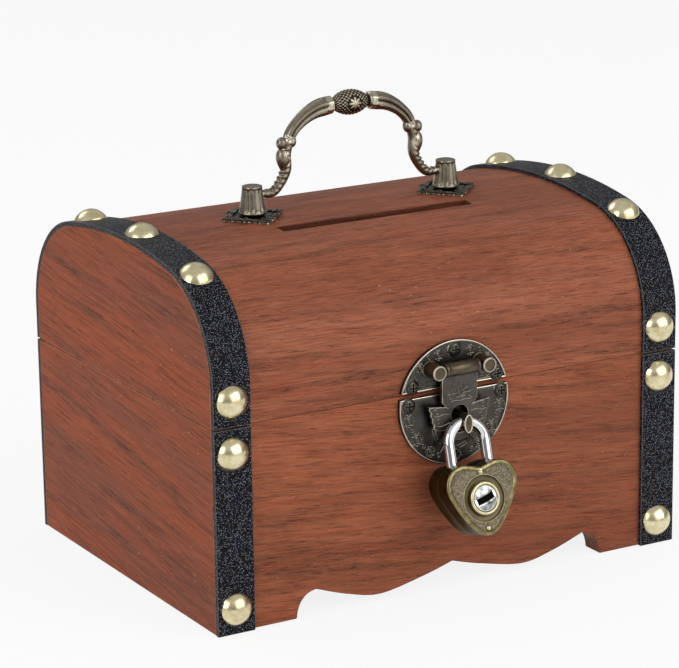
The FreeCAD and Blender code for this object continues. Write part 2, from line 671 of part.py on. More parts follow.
def lock_case():
    """Padlock body before it is split: heart block with face pocket, dish, bores and bolt pocket."""
    front = -LOCK_T / 2
    case = flat_prism(heart_edges(1.0), V(0, LOCK_T, 0))
    case.translate(V(0, front, 0))
    rims = [edge for edge in case.Edges if edge.BoundBox.YLength < 0.01]
    case = case.makeFillet(LOCK_EDGE_R, rims)
    face = flat_prism(heart_edges(LOCK_FACE_SHRINK), V(0, LOCK_FACE_DEEP, 0))
    face.translate(V(0, front, 0))
    floor = front + LOCK_FACE_DEEP
    dish = rod(LOCK_DISH_R, V(0, floor, PLUG_Z), V(0, floor + LOCK_DISH_DEEP, PLUG_Z))
    seat = rod(BEZEL_R, V(0, front, PLUG_Z), V(0, front + BEZEL_SEAT, PLUG_Z))
    bore = rod(PLUG_R + PLUG_RUN, V(0, front, PLUG_Z), V(0, PLUG_BACK, PLUG_Z))
    shoulder = rod(PLUG_SHOULDER_R + PLUG_RUN, V(0, PLUG_BACK - PLUG_SHOULDER_T - PLUG_RUN, PLUG_Z),
                   V(0, -BOLT_T / 2 - BOLT_RUN, PLUG_Z))
    leg_r = WIRE_R + LEG_RUN
    toe = rod(leg_r, V(-BOW_R, 0, 0), V(-BOW_R, 0, TOE_END - LEG_RUN))
    heel = rod(leg_r, V(BOW_R, 0, 0), V(BOW_R, 0, HEEL_BORE_END))
    half_t = BOLT_T / 2 + BOLT_RUN
    top = BOLT_TOP + BOLT_RUN
    arm = BOLT_ARM_W / 2 - cam_point(0).x + BOLT_RUN
    tail = BOLT_TAIL_X + BOLT_TRAVEL + BOLT_RUN
    bar_pocket = block(-BOW_R, tail, -half_t, half_t, BOLT_TOP - BOLT_H - BOLT_RUN, top)
    arm_pocket = block(-arm, arm, -half_t, half_t, BOLT_ARM_LOW - BOLT_RUN, top)
    rivets = [rod(RIVET_R, V(0, front, z), V(0, -front, z)) for z in RIVET_Z]
    pockets = [fused([face, dish, seat, bore]), shoulder, toe, heel, bar_pocket, arm_pocket]
    return cut_all(case, pockets + rivets)


def lock_shells():
    """Front and back half of the padlock body."""
    case = lock_case()
    wide = LOCK_W
    front = case.common(block(-wide, wide, -LOCK_T, 0, LOCK_TIP * 2, 0))
    back = case.common(block(-wide, wide, 0, LOCK_T, LOCK_TIP * 2, 0))
    return front, back


def shackle():
    """Bent wire: bow, long heel leg, short toe leg with the bolt's notch and a ramp to its end."""
    wire = Part.Face(Part.Wire(Part.makeCircle(WIRE_R, V(BOW_R, 0, 0), V(0, 0, 1))))
    bow = wire.revolve(V(0, 0, 0), V(0, 1, 0), -180)
    heel = rod(WIRE_R, V(BOW_R, 0, 0), V(BOW_R, 0, HEEL_END))
    toe = rod(WIRE_R, V(-BOW_R, 0, 0), V(-BOW_R, 0, TOE_END))
    inner = -BOW_R + WIRE_R
    deep = inner - NOTCH_DEEP
    corners = [
        V(inner + WIRE_R, -WIRE_R, BOLT_TOP + BOLT_RUN),
        V(deep, -WIRE_R, BOLT_TOP + BOLT_RUN),
        V(deep, -WIRE_R, BOLT_TOP - BOLT_H - BOLT_RUN),
        V(inner - RAMP_END_DEEP, -WIRE_R, TOE_END),
        V(inner + WIRE_R, -WIRE_R, TOE_END),
    ]
    notch = Part.Face(Part.makePolygon(corners + corners[:1])).extrude(V(0, 2 * WIRE_R, 0))
    return fused([bow, heel, toe]).cut(notch)


def bolt():
    """Flat locking bolt: bar into the toe's notch, forked arm round the cam pin."""
    half_t = BOLT_T / 2
    pin_x = cam_point(0).x
    bar = block(BOLT_TIP_X, BOLT_TAIL_X, -half_t, half_t, BOLT_TOP - BOLT_H, BOLT_TOP)
    arm = block(pin_x - BOLT_ARM_W / 2, pin_x + BOLT_ARM_W / 2, -half_t, half_t, BOLT_ARM_LOW, BOLT_TOP)
    grip = CAM_PIN_R + BOLT_RUN
    slot_top = PLUG_Z + CAM_R + CAM_PIN_R + 2 * BOLT_RUN
    slot = block(pin_x - grip, pin_x + grip, -half_t, half_t, BOLT_ARM_LOW, slot_top)
    return fused([bar, arm]).cut(slot)


def plug():
    """Lock plug with key slot, shoulder and cam pin."""
    front = -LOCK_T / 2 - PLUG_PROUD
    barrel = rod(PLUG_R, V(0, front, PLUG_Z), V(0, PLUG_BACK, PLUG_Z))
    shoulder = rod(PLUG_SHOULDER_R, V(0, PLUG_BACK - PLUG_SHOULDER_T, PLUG_Z), V(0, PLUG_BACK, PLUG_Z))
    pin = cam_point(0)
    cam = rod(CAM_PIN_R, V(pin.x, PLUG_BACK, pin.z), V(pin.x, BOLT_T / 2, pin.z))
    half = KEY_SLOT_L / 2
    slot = block(-half, half, front, front + KEY_SLOT_DEEP, PLUG_Z - KEY_SLOT_W / 2, PLUG_Z + KEY_SLOT_W / 2)
    slot.rotate(V(0, 0, PLUG_Z), V(0, 1, 0), -KEY_SLOT_LEAN)
    return fused([barrel, shoulder, cam]).cut(slot)


def bezel():
    """Ring round the plug, pressed into its seat."""
    front = -LOCK_T / 2
    ring = rod(BEZEL_R, V(0, front - BEZEL_PROUD, PLUG_Z), V(0, front + BEZEL_SEAT, PLUG_Z))
    rim = [edge for edge in ring.Edges if edge.BoundBox.YMax < front - BEZEL_PROUD + 0.01]
    ring = ring.makeFillet(BEZEL_PROUD, rim)
    return ring.cut(rod(PLUG_R + PLUG_RUN, V(0, front - LOCK_T, PLUG_Z), V(0, front + BEZEL_SEAT, PLUG_Z)))


def rivet(z):
    """Rivet through both shells with a small domed head."""
    floor = -LOCK_T / 2 + LOCK_FACE_DEEP
    reach = 2 * RIVET_HEAD_R
    head = Part.makeSphere(RIVET_HEAD_R, V(0, floor, z))
    head = head.common(block(-reach, reach, -LOCK_T, floor, z - reach, z + reach))
    return fused([head, rod(RIVET_R, V(0, floor, z), V(0, LOCK_T / 2, z))])


def heel_spring():
    """Small coil of square wire under the heel leg."""
    wire = SPRING_WIRE_R
    room = HEEL_END - HEEL_BORE_END - 2 * wire
    helix = Part.makeHelix(room / SPRING_TURNS, room, SPRING_R)
    low, high = SPRING_R - wire, SPRING_R + wire
    corners = [V(low, 0, -wire), V(high, 0, -wire), V(high, 0, wire), V(low, 0, wire)]
    section = Part.makePolygon(corners + corners[:1])
    coil = Part.Wire(helix).makePipeShell([section], True, True)
    coil.translate(V(BOW_R, 0, HEEL_BORE_END + wire))
    return coil


def hung(shape):
    """Padlock shape moved from its own frame to the staple's eye, its foot swung out as it rests."""
    placed = shape.copy()
    placed.translate(V(0, 0, -BOW_R))
    placed.rotate(V(0, 0, 0), V(1, 0, 0), -LOCK_TILT)
    placed.translate(V(0, STAPLE_EYE_Y, STAPLE_Z))
    return placed


def box_nodes():
    """Panels, straps, tacks and hardware that stay with the box."""
    in_x = HALF_W - PANEL_T
    nodes = {
        "front_panel": panel_with_apron(-HALF_D),
        "back_panel": panel_with_apron(HALF_D - PANEL_T),
        "bottom_panel": block(-in_x, in_x, -HALF_D + PANEL_T, HALF_D - PANEL_T, FLOOR_Z, FLOOR_Z + FLOOR_T),
    }
    tacks = []
    for name, side in (("left", -1), ("right", 1)):
        places = tack_places(side)[0]
        nails = [stood_on(tack_shank(), *place) for place in places]
        outer = side * HALF_W
        inner = side * in_x
        panel = block(min(outer, inner), max(outer, inner), -HALF_D, HALF_D, 0, SEAM_Z)
        nodes[name + "_side"] = cut_all(panel, nails)
        edge = side * (HALF_W - STRAP_W)
        for face, y0 in (("front", -HALF_D - STRAP_T), ("back", HALF_D)):
            strap = block(min(outer, edge), max(outer, edge), y0, y0 + STRAP_T, 0, SEAM_Z - STRAP_GAP)
            nodes[face + "_" + name + "_strap"] = cut_all(strap, nails)
        body = block(-BOX_W, BOX_W, -HALF_D - STRAP_T, HALF_D + STRAP_T, 0, SEAM_Z)
        for place, nail in zip(places, nails):
            tacks.append(fused([stood_on(tack(), *place).cut(body), nail]))
    nodes["box_tacks"] = group(tacks)
    return nodes


def lid_nodes():
    """Skin, ends, straps and tacks that move with the lid."""
    in_x = HALF_W - PANEL_T
    skin = lid_prism(0, -in_x, in_x).cut(lid_prism(-LID_SKIN_T, -in_x, in_x))
    slot = block(-SLOT_L / 2, SLOT_L / 2, SLOT_Y - SLOT_W / 2, SLOT_Y + SLOT_W / 2, SEAM_Z, LID_TOP_Z)
    nodes = {"lid_skin": skin.cut(slot)}
    tacks = []
    for name, side in (("left", -1), ("right", 1)):
        places = tack_places(side)[1]
        nails = [stood_on(tack_shank(), *place) for place in places]
        outer = side * HALF_W
        inner = side * in_x
        edge = side * (HALF_W - STRAP_W)
        nodes["lid_" + name + "_end"] = cut_all(lid_prism(0, min(outer, inner), max(outer, inner)), nails)
        nodes["lid_" + name + "_strap"] = cut_all(strap_wrap(min(outer, edge), max(outer, edge)), nails)
        dome = lid_prism(STRAP_T, -BOX_W, BOX_W)
        for place, nail in zip(places, nails):
            tacks.append(fused([stood_on(tack(), *place).cut(dome), nail]))
    nodes["lid_tacks"] = group(tacks)
    return nodes


def add_screws(nodes, name, places, scale, wood, plates):
    """Group of screws, with their holes bored in the wood and plates they hold."""
    length = SCREW_SHANK_L
    shanks = [stood_on(screw_shank(scale, length), *place) for place in places]
    nodes[name] = group([stood_on(screw(scale, length), *place) for place in places])
    for holder in [wood] + plates:
        nodes[holder] = cut_all(nodes[holder], shanks)


def all_nodes():
    """Every node by name, in the modelling frame."""
    nodes = box_nodes()
    nodes.update(lid_nodes())
    nodes["lower_latch_plate"] = lower_plate()
    nodes["upper_latch_plate"] = upper_plate()
    nodes["staple"] = staple()
    nodes["hasp"] = hasp()
    nodes["hasp_pin"] = hasp_pin()
    lower, upper = latch_screw_places()
    add_screws(nodes, "box_latch_screws", lower, 1.0, "front_panel", ["lower_latch_plate"])
    add_screws(nodes, "lid_latch_screws", upper, 1.0, "lid_skin", ["upper_latch_plate"])
    for name, x in (("left", -HINGE_X), ("right", HINGE_X)):
        leaves = hinge_leaves(x)
        nodes[name + "_hinge_box_leaf"] = leaves[0]
        nodes[name + "_hinge_lid_leaf"] = leaves[1]
        nodes[name + "_hinge_pin"] = leaves[2]
    box_leaves = ["left_hinge_box_leaf", "right_hinge_box_leaf"]
    lid_leaves = ["left_hinge_lid_leaf", "right_hinge_lid_leaf"]
    scale = HINGE_SCREW_SCALE
    add_screws(nodes, "box_hinge_screws", hinge_screw_places(-1), scale, "back_panel", box_leaves)
    add_screws(nodes, "lid_hinge_screws", hinge_screw_places(1), scale, "lid_skin", lid_leaves)
    shanks = [handle_screw_shank(x) for x in (-HANDLE_X, HANDLE_X)]
    nodes["lid_skin"] = cut_all(nodes["lid_skin"], shanks)
    for name, x in (("left", -HANDLE_X), ("right", HANDLE_X)):
        nodes[name + "_rosette"] = rosette(x).cut(handle_screw_shank(x))
        nodes[name + "_handle_post"] = handle_post(x)
    nodes["handle_screws"] = group([handle_screw(x) for x in (-HANDLE_X, HANDLE_X)])
    nodes["handle_bail"] = bail()
    front, back = lock_shells()
    nodes["padlock_front_shell"] = hung(front)
    nodes["padlock_back_shell"] = hung(back)
    nodes["padlock_shackle"] = hung(shackle())
    nodes["padlock_bolt"] = hung(bolt())
    nodes["padlock_plug"] = hung(plug())
    nodes["padlock_bezel"] = hung(bezel())
    nodes["padlock_rivets"] = group([hung(rivet(z)) for z in RIVET_Z])
    nodes["padlock_spring"] = hung(heel_spring())
    return nodes


def frame_shift(nodes):
    """Move that brings the whole part's box centre over the origin."""
    whole = Part.makeCompound(list(nodes.values())).optimalBoundingBox()
    return V(-(whole.XMin + whole.XMax) / 2, -(whole.YMin + whole.YMax) / 2, -whole.ZMin)


def export(nodes):
    """One STEP file for each node."""
    os.makedirs("parts", exist_ok=True)
    shift = frame_shift(nodes)
    for name, shape in nodes.items():
        moved = shape.copy()
        moved.translate(shift)
        moved.exportStep("parts/" + name + ".step")


export(all_nodes())
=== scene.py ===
# %% [markdown]
# # A small wooden money chest
# The CAD model is loaded as a fixed frame. It gives every size, body and joint.
# This lesson builds what the eye sees around it, in the same place and at the same size,
# and gives each surface a finish made of shader nodes alone.

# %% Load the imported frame
import bmesh
import bpy
from math import asin, atan2, copysign, cos, degrees, hypot, pi, radians, sin, sqrt
from mathutils import Matrix, Vector, noise
from mathutils.geometry import interpolate_bezier


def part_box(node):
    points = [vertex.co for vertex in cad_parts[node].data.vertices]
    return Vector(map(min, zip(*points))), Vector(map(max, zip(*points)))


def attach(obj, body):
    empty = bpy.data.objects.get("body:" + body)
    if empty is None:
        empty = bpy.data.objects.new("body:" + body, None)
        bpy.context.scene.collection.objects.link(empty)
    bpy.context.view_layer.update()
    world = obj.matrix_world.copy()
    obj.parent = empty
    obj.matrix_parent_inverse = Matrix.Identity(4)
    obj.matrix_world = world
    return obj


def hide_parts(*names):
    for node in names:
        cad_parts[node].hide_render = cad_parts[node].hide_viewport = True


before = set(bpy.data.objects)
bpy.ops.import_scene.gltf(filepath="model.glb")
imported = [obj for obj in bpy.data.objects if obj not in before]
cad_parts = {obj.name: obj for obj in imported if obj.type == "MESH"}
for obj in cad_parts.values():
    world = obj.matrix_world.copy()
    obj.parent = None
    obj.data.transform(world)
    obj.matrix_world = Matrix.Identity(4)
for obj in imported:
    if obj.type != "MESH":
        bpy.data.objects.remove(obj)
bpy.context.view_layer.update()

# %% [markdown]
# ## Sizes
# Blender works in metres, but a maker thinks of this chest in millimetres from the middle of its
# footprint. Shapes are written that way, and the piece maker puts them into the frame. Sizes come
# from the frame where it can give them; the rest repeat the CAD model's values.

# %% Sizes from the frame
MM = 0.001
MID_Y = sum(corner[1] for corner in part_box("left_side")) / 2


def span(node):
    """A CAD node's lowest and highest corner, in millimetres from the middle of the footprint."""
    return [Vector((corner[0], corner[1] - MID_Y, corner[2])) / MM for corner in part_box(node)]


HALF_W, HALF_D, SEAM = span("right_side")[1]
BOARD = HALF_W - span("right_side")[0].x
INNER_W = HALF_W - BOARD
LID_TOP = span("lid_skin")[1].z
STRAP_T = -HALF_D - span("front_left_strap")[0].y
STRAP_X = -span("front_left_strap")[1].x
PLATE_Y = span("lower_latch_plate")[0].y
print("half width %.1f, half depth %.1f, seam %.1f, lid top %.1f" % (HALF_W, HALF_D, SEAM, LID_TOP))

# %% [markdown]
# ## Shape helpers
# Nearly everything is a skin stretched through rings: a lathe turns rings about an axis, a tube
# carries them along a path, a plate is two outlines with a wall between them. So a shape is just
# its corners, its faces and a mark for each face that says which finish it takes.


# %% Skins, sheets and plates
UP = Vector((0, 0, 1))


def skin(rings, loop=False):
    """Closed surface through rings of equal count; loop joins the last ring to the first."""
    count = len(rings[0])
    verts = [Vector(p) for ring in rings for p in ring]
    faces = []
    for r in range(len(rings) if loop else len(rings) - 1):
        a = r * count
        b = (r + 1) % len(rings) * count
        for i in range(count):
            j = (i + 1) % count
            faces.append((a + i, a + j, b + j, b + i))
    if not loop:
        faces.append(tuple(reversed(range(count))))
        faces.append(tuple(range(len(verts) - count, len(verts))))
    return verts, faces, [0] * len(faces)


def banded(rings, bands):
    """Closed skin whose finish changes along it; bands are (first ring, mark)."""
    verts, faces, marks = skin(rings)
    for first, mark in bands:
        start = first * len(rings[0])
        marks[start:] = [mark] * (len(marks) - start)
    return verts, faces, marks


def sheet(rows, hole=None):
    """Open surface through rows of points, without the cells that hole names."""
    count = len(rows[0])
    faces = []
    for r in range(len(rows) - 1):
        for c in range(count - 1):
            if not hole or not hole(r, c):
                a = r * count + c
                faces.append((a, a + 1, a + count + 1, a + count))
    return [Vector(p) for row in rows for p in row], faces, [0] * len(faces)


def plate(outline, low, high):
    """Solid between two levels of Y with an outline of (x, z) points."""
    return skin([[(x, y, z) for x, z in outline] for y in (high, low)])


def spread(first, last, count):
    """Numbers in equal steps from first to last."""
    return [first + (last - first) * n / count for n in range(count + 1)]


def turns(count):
    """Angles of a full turn in equal steps."""
    return spread(0, 2 * pi, count)[:-1]


def round_at(x, z, size, angle):
    """Point on a circle about (x, z), at an angle in degrees."""
    turn = radians(angle)
    return x + size * cos(turn), z + size * sin(turn)


def lathe(profile, sides=40, lobes=None):
    """Rings about Z through (radius, height) points; lobes shapes them."""
    rings = []
    for radius, height in profile:
        ring = []
        for turn in turns(sides):
            r = lobes(radius, height, turn) if lobes else radius
            ring.append((r * cos(turn), r * sin(turn), height))
        rings.append(ring)
    return rings


def tube(path, radius, sides=8, lobes=None, normal=Vector((0, 1, 0)), loop=False):
    """Round bar along a flat path; lobes shapes the rings by their number and turn."""
    rings = []
    chain = [path[-1], *path, path[0]] if loop else [path[0], *path, path[-1]]
    for n, point in enumerate(path):
        side = normal.cross((Vector(chain[n + 2]) - Vector(chain[n])).normalized())
        size = radius[n] if isinstance(radius, list) else radius
        ring = []
        for turn in turns(sides):
            r = size * (lobes(n, turn) if lobes else 1)
            ring.append(Vector(point) + r * (normal * cos(turn) + side * sin(turn)))
        rings.append(ring)
    return skin(rings, loop)


def ball(centre, size, squash):
    """Sphere turned on the lathe and stretched along its axes."""
    rings = lathe([(size * sin(tilt), size * cos(tilt)) for tilt in spread(0, pi, 10)[1:-1]], 20)
    return skin([[Vector(centre) + Vector(p) * Vector(squash) for p in ring] for ring in rings])


def merge(*shapes):
    """One shape from several."""
    verts, faces, marks = [], [], []
    for shape in shapes:
        start = len(verts)
        verts += shape[0]
        faces += [tuple(i + start for i in face) for face in shape[1]]
        marks += shape[2]
    return verts, faces, marks


def moved(shape, matrix):
    """Shape carried by a matrix."""
    return [matrix @ Vector(v) for v in shape[0]], shape[1], shape[2]


def both(shape):
    """Shape and its mirror image across the middle plane."""
    verts, faces, marks = shape
    flipped = [Vector((-v[0], v[1], v[2])) for v in verts]
    return merge(shape, (flipped, [face[::-1] for face in faces], marks))


def stood(shape, point, up):
    """Shape made along Z, stood at a point."""
    turn = UP.rotation_difference(Vector(up)).to_matrix().to_4x4()
    return moved(shape, Matrix.Translation(point) @ turn)


def smooth(points, steps, closed=False):
    """Smooth line through points."""
    points = [Vector(p).to_3d() for p in points]
    chain = points[-1:] + points + points[:2] if closed else points[:1] + points + points[-1:]
    line = []
    for before, a, b, after in zip(chain, chain[1:], chain[2:], chain[3:]):
        line += interpolate_bezier(a, a + (b - before) / 6, b - (after - a) / 6, b, steps + 1)[:-1]
    return line if closed else line + [points[-1]]


print("shape helpers ready")

# %% [markdown]
# ## Turning a shape into a piece
# A piece is a mesh that rides on one CAD body. A Solidify modifier gives a sheet its thickness,
# and a Bevel modifier breaks the edges as sandpaper or a press tool does: an edge that catches
# light makes a solid look real. The bevel can take a second finish, so worn edges, and edges
# with a painted highlight, need no texture of their own.


# %% Piece maker
scene = bpy.context.scene


def put(name, data):
    """Object in the scene."""
    obj = bpy.data.objects.new(name, data)
    scene.collection.objects.link(obj)
    return obj


def piece(name, shape, body, finishes, nodes=(), thick=0.0, rim=0, edge=0.0, worn=False, angle=35):
    """Mesh object from a shape in millimetres, dressed and riding on its body."""
    verts, faces, marks = shape
    mesh = bpy.data.meshes.new(name)
    shift = Vector((0, MID_Y, 0))
    mesh.from_pydata([Vector(v) * MM + shift for v in verts], [], faces)
    mesh.polygons.foreach_set("material_index", marks)
    work = bmesh.new()
    work.from_mesh(mesh)
    bmesh.ops.remove_doubles(work, verts=work.verts, dist=1e-7)
    if not thick:
        bmesh.ops.recalc_face_normals(work, faces=work.faces)
    work.to_mesh(mesh)
    work.free()
    mesh.polygons.foreach_set("use_smooth", [True] * len(mesh.polygons))
    if not edge:
        mesh.set_sharp_from_angle(angle=radians(angle))
    obj = put(name, mesh)
    for finish in finishes:
        mesh.materials.append(finish)
    if thick:
        wall = obj.modifiers.new("thickness", "SOLIDIFY")
        wall.thickness = thick * MM
        wall.use_even_offset = True
        wall.material_offset_rim = rim
    if edge:
        bevel = obj.modifiers.new("broken edge", "BEVEL")
        bevel.width = edge * MM
        bevel.segments = 3
        bevel.limit_method = "ANGLE"
        bevel.angle_limit = radians(angle)
        # Second finish on the bevel: real wear on the wood, the cut edge of the straps, and wear with a
        # painted highlight on the bronze.
        bevel.material = 1 if worn else -1
        obj.modifiers.new("flat faces", "WEIGHTED_NORMAL").keep_sharp = True
    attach(obj, body)
    if nodes:
        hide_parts(*nodes)
    print("%s: %d corners on %s" % (name, len(mesh.vertices), body))


# %% [markdown]
# ## Finishes
# Colours are sRGB hex, as a paint chart gives them, turned to linear light once. One function adds
# a node and gives its output, another fills inputs with values, colours or such outputs. Pattern
# scales are one over a real size.


# %% Node helpers
def linear(code):
    """Linear RGBA from an sRGB hex code."""
    parts = [int(code[i:i + 2], 16) / 255 for i in (1, 3, 5)]
    return tuple(c / 12.92 if c <= 0.04045 else ((c + 0.055) / 1.055) ** 2.4 for c in parts) + (1.0,)


def fill(tree, node, inputs):
    """Sets inputs, named in a dict or listed in order, to values or hex colours, or links them."""
    for key, value in inputs.items() if isinstance(inputs, dict) else enumerate(inputs):
        if isinstance(value, bpy.types.NodeSocket):
            tree.links.new(value, node.inputs[key])
        else:
            node.inputs[key].default_value = linear(value) if isinstance(value, str) else value


def add(tree, kind, inputs=(), out=0, **settings):
    """Adds a node with its settings and inputs, and gives one of its outputs."""
    node = tree.nodes.new("ShaderNode" + kind)
    for key, value in settings.items():
        setattr(node, key, value)
    fill(tree, node, inputs)
    return node.outputs[out]


def new_finish(name):
    """Material with its tree, its shader and the place on the object."""
    finish = bpy.data.materials.new(name)
    finish.use_nodes = True
    tree = finish.node_tree
    return finish, tree, tree.nodes["Principled BSDF"], add(tree, "TexCoord", out="Object")


# A Mix node has sockets for numbers, vectors and colours; these are the ones for colours. A MapRange
# node lists its value, the range that it is in and the range that it is sent to.
COLOUR_A, COLOUR_B = 6, 7
COLOURS = {"out": 2, "data_type": "RGBA"}

# %% [markdown]
# ### Stained wood
# The boards are a pale open-pored wood under a reddish brown stain with a thin satin coat. Stain
# sinks into soft wood and pores: broad clouds, greyish bands, redder lines, long streaks and short
# dark dashes, and sanding leaves pale flecks. Each is one layer of noise, stretched along the grain
# and cut to a share, so a board is a short table of real sizes. The grain falls a little, and on
# the end boards it runs from front to back, so both are settings.

# %% Stained wood
# Layers as length and width in mm, noise where it starts and is full, greatest share, colour, and
# for the long dashes the earlier layer that they keep to.
WOOD_LAYERS = (
    (90.0, 15.0, 0.42, 0.62, 0.62, "#7A4530"),
    (45.0, 3.6, 0.50, 0.68, 0.52, "#5E3827"),
    (22.0, 0.9, 0.48, 0.68, 0.45, "#9E4A2E"),
    (10.0, 0.45, 0.50, 0.66, 0.50, "#5C2F20"),
    (5.0, 0.30, 0.54, 0.62, 1.80, "#371E16", 1),
    (5.5, 0.34, 0.61, 0.69, 0.75, "#43231A"),
    (7.0, 0.28, 0.42, 0.60, 0.36, "#5E301E"),
    (1.6, 0.32, 0.67, 0.75, 0.75, "#C79E84"),
)
STREAKS, PORES = 3, 5


def stained_wood(name, grain, ground, shift, lean=0.0, coarse=(1.0, 1.0)):
    """Open-pored stained board; grain is the axis of its fibres, lean their tilt."""
    finish, tree, shader, place = new_finish(name)
    tilt = (0, radians(lean), 0) if grain == 0 else (radians(lean), 0, 0)
    laid = add(tree, "Mapping", {"Vector": place, "Rotation": tilt})
    colour, shares = ground, []
    for number, (length, width, start, full, most, tint, *within) in enumerate(WOOD_LAYERS):
        scale = [1 / (coarse[1] * width * MM)] * 3
        scale[grain] = 1 / (coarse[0] * length * MM)
        seed = shift + 7.0 * number
        offset = (seed, 1.7 * seed, 2.3 * seed)
        drawn = add(tree, "Mapping", {"Vector": laid, "Scale": scale, "Location": offset})
        fibres = add(tree, "TexNoise", {"Vector": drawn, "Scale": 1.0, "Detail": 3.0, "Roughness": 0.6})
        share = add(tree, "MapRange", [fibres, start, full, 0, most])
        if within:
            share = add(tree, "Math", [share, shares[within[0]]], operation="MULTIPLY")
        shares.append(share)
        colour = add(tree, "Mix", {0: share, COLOUR_A: colour, COLOUR_B: tint}, **COLOURS)
    relief = add(tree, "Math", [shares[STREAKS], shares[PORES]], operation="ADD")
    bump = add(tree, "Bump", {"Strength": 0.45, "Distance": 0.12 * MM, "Height": relief}, invert=True)
    gloss = add(tree, "MapRange", [relief, 0, 1, 0.5, 0.68])
    fill(tree, shader, {"Base Color": colour, "Normal": bump, "Roughness": gloss, "IOR": 1.45,
                        "Specular IOR Level": 0.2})
    return finish


# Front and lid look brown with dark dashes, the ends redder and coarser. A rubbed edge shows as a
# pale line; the walls of the coin slot are painted nearly black as shade.
wood_long = stained_wood("stained wood, grain along the front", 0, "#A35F40", 0.0, lean=-6.0)
wood_lid = stained_wood("stained wood, lid skin", 0, "#A15F44", 31.0, lean=-3.0)
wood_end = stained_wood("stained wood, grain along the side", 1, "#9E4A22", 53.0, lean=-6.0,
                        coarse=(1.7, 1.2))
wood_worn = stained_wood("stained wood, rubbed edge", 0, "#B4704F", 71.0)
# Painted shade: wood nearly black for the walls of the coin slot, which lie in shadow.
wood_slot_shade = stained_wood("stained wood, painted shade in the coin slot", 0, "#2C1810", 83.0)
print("wood finishes:", sum(m.name.startswith("stained wood") for m in bpy.data.materials))

# %% [markdown]
# ### Leatherette
# The straps are black embossed vinyl cloth. A roller pressed the grain into it: creases round
# pebbles about 0.4 mm wide. The creases are painted darker as shade, and each pebble's top has a
# small painted glint. The distance to the nearest Voronoi point gives the dome of a pebble, its
# crease and its top.

# %% Leatherette
PEBBLE, THREAD = 0.4 * MM, 0.5 * MM
leatherette, tree, shader, place = new_finish("black pebbled leatherette")
cells = add(tree, "TexVoronoi", {"Vector": place, "Scale": 1 / PEBBLE}, "Distance")
pebbles = add(tree, "MapRange", [cells, 0.75, 0.1], interpolation_type="SMOOTHSTEP")
# Painted light: shade darkens the creases, and the pale colour on the pebble tops is a painted glint.
tops = add(tree, "MapRange", [cells, 0.38, 0.10])
crease_shaded_ground = add(tree, "Mix", {0: pebbles, COLOUR_A: "#030306", COLOUR_B: "#0B0B12"}, **COLOURS)
rubbed = add(tree, "Mix", {0: tops, COLOUR_A: crease_shaded_ground, COLOUR_B: "#9296A6"}, **COLOURS)
bump = add(tree, "Bump", {"Strength": 0.9, "Distance": 0.2 * MM, "Height": pebbles})
fill(tree, shader, {"Base Color": rubbed, "Normal": bump, "Roughness": 0.4, "IOR": 1.5,
                    "Specular IOR Level": 0.12})

raw_edge, tree, shader, place = new_finish("cut edge of the leatherette")
threads = add(tree, "TexNoise", {"Vector": place, "Scale": 1 / THREAD, "Detail": 3.0})
backing = add(tree, "Mix", {0: threads, COLOUR_A: "#1A191C", COLOUR_B: "#6A6564"}, **COLOURS)
fill(tree, shader, {"Base Color": backing, "Roughness": 0.8})
print("strap finishes:", leatherette.name, "|", raw_edge.name)

# %% [markdown]
# ### Plated metals
# Latch, handle and padlock are cast or pressed, plated, blackened and then rubbed: dark stays in
# the hollows and the ridges come up bright. Ambient occlusion measures just that: traced outward it
# finds the hollows, traced inward the thin ridges and edges.


# %% Plated metals
def plated(name, hollow, face, ridge, rough, reach=0.9, cloud=3.0, smutty=0.4, grit=0.35, bite=0.05):
    """Antiqued plating: dark in its hollows, bright where hands and cloth rub it."""
    finish, tree, shader, place = new_finish(name)
    deep = add(tree, "AmbientOcclusion", {"Distance": reach * MM}, "AO", samples=8)
    thin = add(tree, "AmbientOcclusion", {"Distance": 0.45 * reach * MM}, "AO", samples=8, inside=True)
    open_share = add(tree, "MapRange", [deep, 0.35, 0.95])
    edge_share = add(tree, "MapRange", [thin, 0.75, 0.25])
    smut = add(tree, "TexNoise", {"Vector": place, "Scale": 1 / (cloud * MM), "Detail": 5.0,
                                  "Roughness": 0.65})
    patch = add(tree, "MapRange", [smut, 0.35, 0.7, 0, smutty])
    grain = add(tree, "TexNoise", {"Vector": place, "Scale": 1 / (grit * MM), "Detail": 2.0})
    colour = hollow
    for share, tint in ((open_share, face), (patch, hollow), (edge_share, ridge)):
        colour = add(tree, "Mix", {0: share, COLOUR_A: colour, COLOUR_B: tint}, **COLOURS)
    gloss = add(tree, "MapRange", [edge_share, 0, 1, rough, rough * 0.6])
    bump = add(tree, "Bump", {"Strength": 0.4, "Distance": bite * MM, "Height": grain})
    fill(tree, shader, {"Base Color": colour, "Roughness": gloss, "Normal": bump, "Metallic": 1.0})
    return finish


# Bronze: grey-black plates with dull relief, pale edges that are worn and carry a painted highlight,
# warm brown on turned and rolled work, and on the castings silvery tops with black between the beads.
bronze_dark = plated("antique bronze plate", "#12110F", "#524F4B", "#8F887B", 0.38)
bronze_relief = plated("antique bronze, pressed ornament", "#151412", "#5A5651", "#6E6961", 0.42)
# Painted highlight: the worn edge is made paler still, so edges show the bright lines that light draws on
# them.
bronze_worn_lit_edge = plated("antique bronze, worn edge with painted highlight", "#5E564A", "#D2C7B4", "#E4DAC8", 0.5,
                     reach=0.4, cloud=4.0, smutty=0.9)
bronze_brown = plated("antique bronze, brown", "#18130E", "#665A4A", "#B0A28A", 0.33)
bronze_pale = plated("antique bronze, rubbed", "#2E281F", "#B3A893", "#EAE2D0", 0.32)
bronze_cast = plated("antique bronze casting", "#14110E", "#938A79", "#BDB4A2", 0.33)
bronze_black = plated("antique bronze, blackened hollows", "#0B0A08", "#2E2822", "#4A4238", 0.45)
